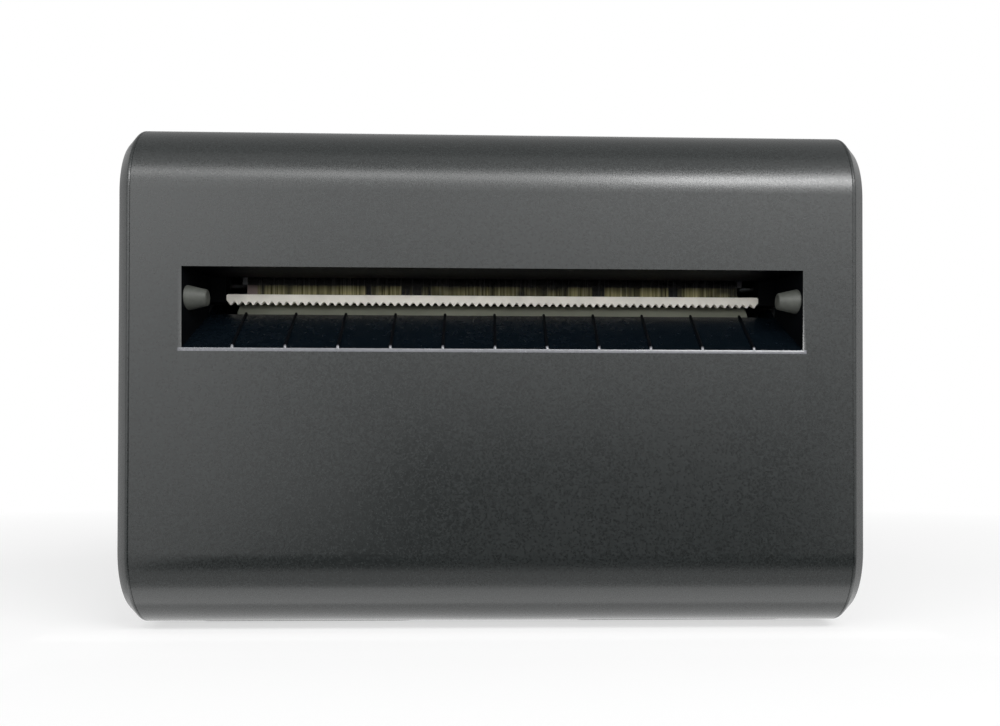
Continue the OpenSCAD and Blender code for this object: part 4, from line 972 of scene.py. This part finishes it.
@dataclass(frozen=True)
class SidePanel:
    """A flat end cover with a chamfer round its outer face and a lip inside."""

    casing: Casing
    hinge: Hinge
    chamfer: float = 0.0024
    softness: float = 0.0005
    rim_slack: float = 0.0005
    lip_width: float = 0.002
    lip_sunk: float = 0.0003
    lip_inset: float = 0.0029
    lip_wall: float = 0.0015
    notch_radius: float = 0.0042

    def build(self, finish: Material) -> tuple[Obj, Obj]:
        """Models the right panel and mirrors it to the left."""
        right = dress(join([self.plate(), self.lip()], "right_cover"), finish)
        return right, mirrored(right, "left_cover")

    def outline_box(self, x0: float, x1: float, inset: float, name: str) -> Obj:
        """Adds the casing's side outline as a block drawn in by an inset, left in edit mode."""
        case = self.casing
        front, rear = case.front + inset, case.rear - inset
        block = add_box((x0, front, case.bottom + inset), (x1, rear, case.top - inset), name)
        edit(block)
        round_edges(block, along_x(front), case.front_radius - inset, 24)
        round_edges(block, along_x(rear), case.rear_radius - inset, 16)
        return block

    def plate(self) -> Obj:
        """Models the plate with its chamfered outer edge."""
        case = self.casing
        plate = self.outline_box(case.seam, case.half_width, 0.0, "plate")
        pick(plate, "FACE", lambda c, n: n.x > FLAT)
        bpy.ops.mesh.inset(thickness=self.chamfer, use_even_offset=True)
        by = (-self.chamfer, 0, 0)
        move_points(plate, lambda p: near(p.x, case.half_width) and self.at_rim(p), by)
        return soften(plate, self.softness, 3, 20)

    def at_rim(self, p: Vector) -> bool:
        """Whether a point lies on the outline and not on the inset face."""
        case = self.casing
        y = max(case.front + case.front_radius - p.y, p.y - case.rear + case.rear_radius, 0.0)
        low, high = p.z - case.bottom, case.top - p.z
        radius = case.front_radius if p.y < 0 else case.rear_radius
        z = max(radius - low, radius - high, 0.0)
        if y > 0 and z > 0:
            return math.hypot(y, z) > radius - self.rim_slack
        return min(low, high, p.y - case.front, case.rear - p.y) < self.rim_slack

    def lip(self) -> Obj:
        """Models the lip that locates the other covers, notched round the lid's barrel."""
        seam, hinge = self.casing.seam, self.hinge
        ring = self.outline_box(seam - self.lip_width, seam + self.lip_sunk, self.lip_inset, "lip")
        drop_faces(ring, lambda c, n: abs(n.x) > FLAT)
        wall_inwards(ring, self.lip_wall)
        cut(ring, add_rod((seam, hinge.y, hinge.z), self.notch_radius, THROUGH, "notch", Axis.X))
        return soften(ring, 0.0002, 1)


@dataclass(frozen=True)
class Lid:
    """The hinged top cover with its barrel, skirts and cross ribs."""

    casing: Casing
    hinge: Hinge
    softness: float = 0.00045
    sunk: float = 0.0003
    skirt_x: float = 0.067
    skirt_wall: float = 0.002
    skirt_depth: float = 0.007
    skirt_ends: Point = (0.0037, 0.014)
    ribs: int = 4
    rib_wall: float = 0.0015
    rib_depth: float = 0.0035
    rib_ends: Point = (0.006, 0.016)

    def build(self, finish: Material) -> Obj:
        """Models the lid."""
        case, hinge = self.casing, self.hinge
        reach, roof, inner = case.seam - case.gap, case.roof, self.skirt_x - self.skirt_wall / 2
        front, back = case.land_back + case.gap, hinge.y - hinge.neck
        parts = [bar((-reach, front, roof), (reach, back, case.top), "lid", self.softness)]
        for x0, x1 in hinge.lid_runs(reach):
            parts.append(hinge.rod(x0, x1, "barrel"))
            neck_top = (x1, hinge.y, hinge.z + hinge.radius)
            parts.append(bar((x0, back - 0.001, roof + SUNK), neck_top, "neck", 0.0004))
        for side in SIDES:
            x = span(side, self.skirt_x - self.skirt_wall, self.skirt_x)
            low = (x[0], front + self.skirt_ends[0], roof - self.skirt_depth)
            parts.append(bar(low, (x[1], hinge.y - self.skirt_ends[1], roof + self.sunk), "skirt"))
        first, last = front + self.rib_ends[0], hinge.y - self.rib_ends[1]
        for i in range(self.ribs):
            y = first + i * (last - first) / (self.ribs - 1)
            top = (inner, y + self.rib_wall, roof + self.sunk)
            parts.append(bar((-inner, y, roof - self.rib_depth), top, "rib"))
        return dress(join(parts, "lid_cover"), finish)


@dataclass(frozen=True)
class RearPanel:
    """The rear wall with its connector openings, hinge knuckles and screw posts."""

    casing: Casing
    hinge: Hinge
    low: float = 0.0103
    land_front: float = 0.0775
    land_sunk: float = 0.001
    softness: float = 0.00035
    sockets: tuple[str, ...] = ("power_inlet", "usb_port", "drawer_port", "switch_body")
    socket_cut: Point = (0.079, 0.09)
    web_drop: float = 0.0057
    shelf_drop: float = 0.002
    gutter_front: float = 0.006
    gutter_drops: Point = (0.007, 0.0056)
    post_half: float = 0.004
    post_top: float = 0.032
    post_foot: float = 0.0105

    def build(self, finish: Material) -> Obj:
        """Models the rear panel."""
        case = self.casing
        front = self.land_front - self.land_sunk
        wall = skin_box((-case.seam, front, self.low), (case.seam, case.rear, case.top),
                        lambda c, n: n.y < -FLAT or n.z < -FLAT, "rear_cover")
        round_edges(wall, along_x(case.rear, case.top), case.rear_radius, 18)
        select_all()
        bpy.ops.mesh.bisect(plane_co=(0, self.land_front, 0), plane_no=(0, -1, 0), clear_outer=True)
        wall_inwards(wall, case.wall)
        front_cut, rear_cut = self.socket_cut
        for name in self.sockets:
            low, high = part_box(name)
            near_corner = (low[0] - case.gap, front_cut, low[2] - case.gap)
            far_corner = (high[0] + case.gap, rear_cut, high[2] + case.gap)
            cut(wall, add_box(near_corner, far_corner, "opening"))
        soften(wall, self.softness, 3, 30)
        inner = case.rear - case.wall + SUNK
        parts = [wall, *self.hinge_side(inner), *self.posts(front, inner)]
        return dress(join(parts, "rear_cover"), finish)

    def hinge_side(self, inner: float) -> list[Obj]:
        """Models the knuckles, their webs and the gutter, back to the Y where the wall begins."""
        hinge, half = self.hinge, self.casing.inner_half
        low = hinge.z - self.web_drop
        webs = ((hinge.y + hinge.radius, hinge.z), (inner, hinge.z - self.shelf_drop))
        parts = []
        for x0, x1 in hinge.rear_runs():
            parts.append(hinge.rod(x0, x1, "knuckle"))
            for back, high in webs:
                parts.append(bar((x0, hinge.y, low), (x1, back, high), "web"))
        front, (floor, top) = hinge.y - self.gutter_front, (hinge.z - d for d in self.gutter_drops)
        return parts + [bar((-half, front, floor), (half, inner, top), "gutter")]

    def posts(self, front: float, inner: float) -> list[Obj]:
        """Models the screw posts and what ties them to the wall between two Y."""
        half, top, floor = self.post_half, self.post_top, self.casing.floor
        x, y = self.casing.rear_screw
        parts = []
        for side in SIDES:
            low, high = side * x - half, side * x + half
            parts.append(bar((low, y - half, floor), (high, y + half, top), "post"))
            parts.append(bar((low, front, self.post_foot), (high, inner, top), "post"))
        return parts


@dataclass(frozen=True)
class BaseTray:
    """The floor with its curved rear rim, cooling slots, bosses and rails."""

    casing: Casing
    rim: float = 0.010
    softness: float = 0.0003
    slots: int = 9
    slot_pitch: float = 0.008
    slot_half: float = 0.0015
    slot_ends: Point = (0.037, 0.059)
    slot_radius: float = 0.0014
    bore_z: float = 0.002
    bore_radius: float = 0.003
    bore_length: float = 0.0032
    tongue: Point = (-0.057, -0.045)
    tongue_height: float = 0.002
    flange_inner: float = 0.0682
    flange_back: float = 0.059
    flange_height: float = 0.008
    bosses: tuple[Point, ...] = (
        (0.0555, -0.0395, 0.004, 0.0035), (0.0555, -0.031, 0.004, 0.0035),
        (0.054, 0.049, 0.003, 0.0075), (0.054, 0.075, 0.003, 0.0075),
    )
    boss_bore: float = 0.00145
    bore_share: float = 0.8
    pinion_y: float = 0.005
    rack: float = 0.01069
    rail_half: float = 0.0583
    rails: tuple[Point, ...] = ((-0.00185, -0.00065, 0.0044), (0.0003, 0.0018, 0.0067))

    def build(self, finish: Material) -> Obj:
        """Models the base tray."""
        case = self.casing
        low = (-case.seam, case.land_back + case.gap, case.bottom)
        high = (case.seam, case.rear, self.rim)
        tray = skin_box(low, high, lambda c, n: n.y < -FLAT or n.z > FLAT, "base_cover")
        round_edges(tray, along_x(case.rear, case.bottom), case.rear_radius, 16)
        wall_inwards(tray, case.wall)
        for i in range(self.slots):
            x = (i - (self.slots - 1) / 2) * self.slot_pitch
            low = (x - self.slot_half, self.slot_ends[0], 0.0)
            high = (x + self.slot_half, self.slot_ends[1], case.floor + self.slot_half)
            cut(tray, rounded_block(low, high, self.slot_radius, 6, "slot"))
        for side in SIDES:
            place = (side * case.rear_screw[0], case.rear_screw[1], self.bore_z)
            cut(tray, add_rod(place, self.bore_radius, self.bore_length, "bore"))
        for side in reversed(SIDES):
            REAR_PADS.cut_recess(tray, side, case.bottom)
        soften(tray, self.softness, 2, 30)
        return dress(join([tray, *self.inside()], "base_cover"), finish)

    def inside(self) -> list[Obj]:
        """Models the tongue, flanges, bosses, rails and the pinion's post on the floor."""
        case, floor, sunk = self.casing, self.casing.floor, self.casing.floor - SUNK
        half, (front, back) = case.inner_half, self.tongue
        parts = [bar((-half, front, floor), (half, back, floor + self.tongue_height), "tongue")]
        for side in SIDES:
            x = span(side, self.flange_inner, half)
            top = (x[1], self.flange_back, floor + self.flange_height)
            parts.append(bar((x[0], back, sunk), top, "flange"))
            for boss_x, y, radius, height in ((*case.front_screw, 0.004, 0.007), *self.bosses):
                parts.append(self.boss(side * boss_x, y, radius, floor + height))
            for *ends, high in self.rails:
                y = sorted(self.pinion_y + side * (self.rack + end) for end in ends)
                low, high = (-self.rail_half, y[0], sunk), (self.rail_half, y[1], high)
                parts.append(bar(low, high, "rail"))
        for radius, low, high, softness, segments in (
            (0.0025, 0.0034, 0.0093, 0.0002, 2), (0.004, floor, 0.0044, 0.0001, 1),
        ):
            middle = (0, self.pinion_y, (low + high) / 2)
            post = add_rod(middle, radius, high - low, "post", sides=40)
            parts.append(soften(post, softness, segments))
        return parts

    def boss(self, x: float, y: float, radius: float, top: float) -> Obj:
        """Models one screw boss on the floor."""
        low = self.casing.floor - SUNK
        boss = add_rod((x, y, (low + top) / 2), radius, top - low, "boss", sides=40)
        length = 2 * self.bore_share * (top - low)
        cut(boss, add_rod((x, y, top), self.boss_bore, length, "bore", sides=24))
        return soften(boss, 0.0002)


# ---- Tear bar --------------------------------------------------------------


@dataclass(frozen=True)
class TearBar:
    """The serrated steel bar across the paper's way out."""

    front: float = -0.0715
    thickness: float = 0.0016
    half_length: float = 0.0564
    root: float = 0.0683
    top: float = 0.0699
    softness: float = 0.00016
    teeth: int = 72
    tooth_depth: float = 0.0007
    tooth_share: float = 0.84
    tip_share: float = 0.12
    grind: Point = (0, -0.0003, 0.0002)
    tongue: float = 0.002
    tongue_drops: Point = (0.0003, 0.0002)

    @property
    def back(self) -> float:
        """The Y of the bar's rear face."""
        return self.front + self.thickness

    def build(self, finish: Material) -> Obj:
        """Models the bar, its row of teeth and the tongues at its ends."""
        half, pitch = self.half_length, 2 * self.half_length / self.teeth
        low, high = (-half, self.front, self.root), (half, self.back, self.top)
        body = bar(low, high, "tear_edge", self.softness)
        teeth = row(self.tooth(-half + pitch / 2, pitch), pitch, self.teeth)
        ends = []
        low, high = self.root + self.tongue_drops[0], self.top - self.tongue_drops[1]
        for side in SIDES:
            x = span(side, half - SUNK, half + self.tongue)
            ends.append(bar((x[0], self.front, low), (x[1], self.back, high), "tongue", 0.0001))
        return dress(join([body, *teeth, *ends], "tear_edge"), finish)

    def tooth(self, x: float, pitch: float) -> Obj:
        """Models one tooth, its middle at x, ground to an edge at its front."""
        half, low = pitch * self.tooth_share / 2, self.root - self.tooth_depth
        high = (x + half, self.back, self.root + HAIR)
        tooth = add_box((x - half, self.front, low), high, "tooth")
        edit(tooth)
        pick(tooth, "VERT", lambda p: near(p.z, low))
        bpy.ops.transform.resize(value=(self.tip_share, 1, 1), center_override=(x, self.front, low))
        move_points(tooth, lambda p: near(p.z, low) and near(p.y, self.back), self.grind)
        deselect()
        return tooth


# ---- Springs ---------------------------------------------------------------


@dataclass(frozen=True)
class CoilSpring:
    """An upright coil spring of round wire, between two heights."""

    name: str
    radius: float
    wire: float
    low: float
    high: float
    turns: int

    def build(self, places: Iterable[Point], finish: Material) -> Obj:
        """Models one coil at each X and Y, as one piece."""
        return dress(join([self.coil(x, y) for x, y in places], self.name), finish)

    def coil(self, x: float, y: float) -> Obj:
        """Winds one coil around its axis and closes the wire's ends."""
        start = (self.radius, 0, self.low + self.wire)
        rise = (self.high - self.low - 2 * self.wire) / self.turns
        deselect()
        bpy.ops.mesh.primitive_circle_add(
            vertices=12, radius=self.wire, location=start, rotation=(math.pi / 2, 0, 0)
        )
        coil = settle(bpy.context.object, self.name)
        use_modifier(
            coil, "SCREW", angle=2 * math.pi, screw_offset=rise, iterations=self.turns,
            steps=32, render_steps=32, use_merge_vertices=False,
        )
        edit(coil)
        select_all()
        bpy.ops.mesh.fill_holes(sides=0)
        face_outwards()
        take(coil)
        bpy.ops.object.shade_smooth_by_angle(angle=math.radians(50))
        coil.location = (x, y, 0)
        return settle(coil, self.name)


# ---- Studio ----------------------------------------------------------------


@dataclass(frozen=True)
class Studio:
    """Camera, lamps, floor and surroundings."""

    eye: Point = (-0.00241, -0.2838, 0.03497)
    look: Point = (0.0311, 0.99947, 0.0099)
    roll: float = 0.0017
    lens: float = 36.0
    sensor: float = 36.0
    shift: Point = (-0.0139, 0.0872)
    target: Point = (0, 0, 0.06)
    dim_light: float = 0.4

    def build(self) -> None:
        """Sets up the whole studio."""
        self.camera()
        self.floor()
        self.lamps()
        self.gloss_cards()
        self.surroundings()
        bpy.context.scene.view_settings.view_transform = "Standard"

    def aim(self, data: bpy.types.ID, name: str, place: Point, way: Vector) -> Obj:
        """Puts a camera or lamp at a place, looking along a way."""
        made = bpy.data.objects.new(name, data)
        bpy.context.collection.objects.link(made)
        made.location = place
        made.rotation_euler = way.to_track_quat("-Z", "Y").to_euler()
        return made

    def camera(self) -> None:
        """Places the camera."""
        data = bpy.data.cameras.new("camera")
        data.lens = self.lens
        data.sensor_width = self.sensor
        data.shift_x, data.shift_y = self.shift
        data.clip_start = 0.01
        camera = self.aim(data, "camera", self.eye, Vector(self.look))
        camera.rotation_euler.rotate_axis("Z", self.roll)
        bpy.context.scene.camera = camera

    def floor(self) -> None:
        """Lays a plain pale floor that the camera sees as white where no shadow falls."""
        deselect()
        below = (0, 0, -0.00005)
        bpy.ops.mesh.primitive_grid_add(x_subdivisions=8, y_subdivisions=8, size=6, location=below)
        ground = settle(bpy.context.object, "floor")
        paint = Paint("floor_paper")
        paint.feed(Base_Color=linear(240, 240, 240), Roughness=0.9)
        away = paint.add("VectorMath", _0=paint.coord)
        away.operation = "LENGTH"
        white = paint.spread(away.outputs["Value"], 0.6, 1.0, 0.16, 0.5)
        factor = paint.maths("MULTIPLY", paint.seen(), white)
        paint.show(factor, paint.shader.outputs[0], paint.glow(1.0))
        paint.owner.cycles.emission_sampling = "NONE"
        dress(ground, paint.owner)

    def lamps(self) -> None:
        """Sets the lamps: one above, three in front and one at the left."""
        for name, place, size, power in (
            ("overhead", (0.0, 0.35, 1.2), (2.4, 2.4), 1.0),
            ("front_strip", (-0.15, -0.78, 0.68), (1.5, 0.16), 5.0),
            ("window", (0.42, -0.7, 0.6), (0.6, 0.2), 5.0),
            ("upper_wall", (0.0, -1.0, 0.46), (2.2, 0.44), 4.0),
            ("left_wall", (-0.62, -0.95, 0.12), (0.7, 0.8), 2.0),
        ):
            data = bpy.data.lights.new(name, "AREA")
            data.shape = "RECTANGLE"
            data.size, data.size_y = size
            data.energy = power
            self.aim(data, name, place, Vector(self.target) - Vector(place))

    def gloss_cards(self) -> None:
        """Sets cards that only gloss shows: dark in front and above, pale under the front edge."""
        for name, low, high, light in (
            ("upright_card", (-0.05, -0.315, 0.0), (0.15, -0.313, 0.046), 0.08),
            ("floor_card", (-0.08, -0.313, 0.0004), (0.13, -0.1065, 0.0008), 0.08),
            ("ceiling_card", (-1.2, -0.3, 0.9), (1.2, 1.3, 0.902), 0.5),
            ("near_card", (-0.09, -0.0885, 0.0003), (0.09, -0.0805, 0.0005), 2.35),
            ("edge_card", (-0.09, -0.0805, 0.0003), (0.09, -0.0665, 0.0005), 1.3),
        ):
            paint = Paint(name + "_paint")
            paint.links.new(paint.glow(light), paint.surface)
            paint.owner.cycles.emission_sampling = "NONE"
            card = add_box(low, high, name)
            for kind in ("camera", "diffuse", "transmission", "volume_scatter", "shadow"):
                setattr(card, "visible_" + kind, False)
            dress(card, paint.owner)

    def surroundings(self) -> None:
        """Makes the world white to the camera and to gloss, and dimmer as a light."""
        world = bpy.data.worlds.new("surroundings")
        bpy.context.scene.world = world
        tree = Tree(world, "World Output")
        world.cycles.sampling_method = "NONE"
        dim = tree.add("Background", Color=WHITE, Strength=self.dim_light)
        white = tree.add("Background", Color=WHITE, Strength=1.0)
        tree.show(tree.seen(), dim.outputs[0], white.outputs[0])


# ---- The whole printer -----------------------------------------------------


def dress_frame(made: dict[str, Material]) -> None:
    """Gives each carried-over node the finish of its material slot, except the tear bar holder,
    which takes the dark shade_abs finish as painted shade.
    """
    for part in frame["record"]["subparts"]:
        node, slot = part["node"], part["material_slot"]
        holder = frame["nodes"].get(node)
        if holder is None or slot not in made:
            LOG.warning("no finish for %s (%s)", node, slot)
            continue
        for place in holder.material_slots:
            # Painted shade: the tear bar holder takes the dark shade_abs finish instead of its own.
            place.material = made["shade_abs" if node == "tear_bar_holder" else slot]


def place(piece: Obj, body: str, slot: str, node: str) -> None:
    """Lets a piece ride on a body in the stead of its node, and reports it.

    Args:
        piece: The finished piece.
        body: The body that it moves with.
        slot: The record's material slot; not used.
        node: The node that it stands for.
    """
    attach(piece, body)
    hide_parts(node)
    LOG.info("%s: %d faces on %s", piece.name, len(piece.data.polygons), body)


def main() -> None:
    """Builds the printer and its studio in order."""
    logging.basicConfig(level=logging.INFO, format="%(name)s: %(message)s")
    Studio().build()
    made = finishes()
    dress_frame(made)
    casing, hinge = Casing(), Hinge()
    case_abs, rubber, steel = made["case_abs"], made["foot_rubber"], made["bright_steel"]
    front = FrontShell(casing).build(made)
    right, left = SidePanel(casing, hinge).build(case_abs)
    for piece, body, slot, node in (
        (front, "root", "case_abs", "front_shell"),
        (right, "root", "case_abs", "right_side_panel"),
        (left, "root", "case_abs", "left_side_panel"),
        (Lid(casing, hinge).build(case_abs), "lid", "case_abs", "top_lid"),
        (RearPanel(casing, hinge).build(case_abs), "root", "case_abs", "rear_panel"),
        (BaseTray(casing).build(made["inner_abs"]), "root", "inner_abs", "base_tray"),
        (FRONT_PADS.build("front_pads", rubber), "root", "foot_rubber", "front_feet"),
        (REAR_PADS.build("rear_pads", rubber), "root", "foot_rubber", "rear_feet"),
        (TearBar().build(made["tear_steel"]), "root", "tear_steel", "tear_bar"),
    ):
        place(piece, body, slot, node)
    head_spring = CoilSpring("head_coils", 0.003, 0.00035, 0.07907, 0.08413, 4)
    button_spring = CoilSpring("button_coil", 0.0037, 0.00028, 0.09216, 0.09714, 3)
    head_coils = head_spring.build(((-0.03, -0.0635), (0.03, -0.0635)), steel)
    button_coil = button_spring.build((BUTTON,), steel)
    place(head_coils, "root", "bright_steel", "head_springs")
    place(button_coil, "root", "bright_steel", "button_spring")
    top, foot = (0, -0.0635, head_spring.high), (*BUTTON, button_spring.low)
    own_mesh(head_coils)
    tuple(top)
    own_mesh(button_coil)
    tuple(foot)
    deselect()


if __name__ == "__main__":
    main()
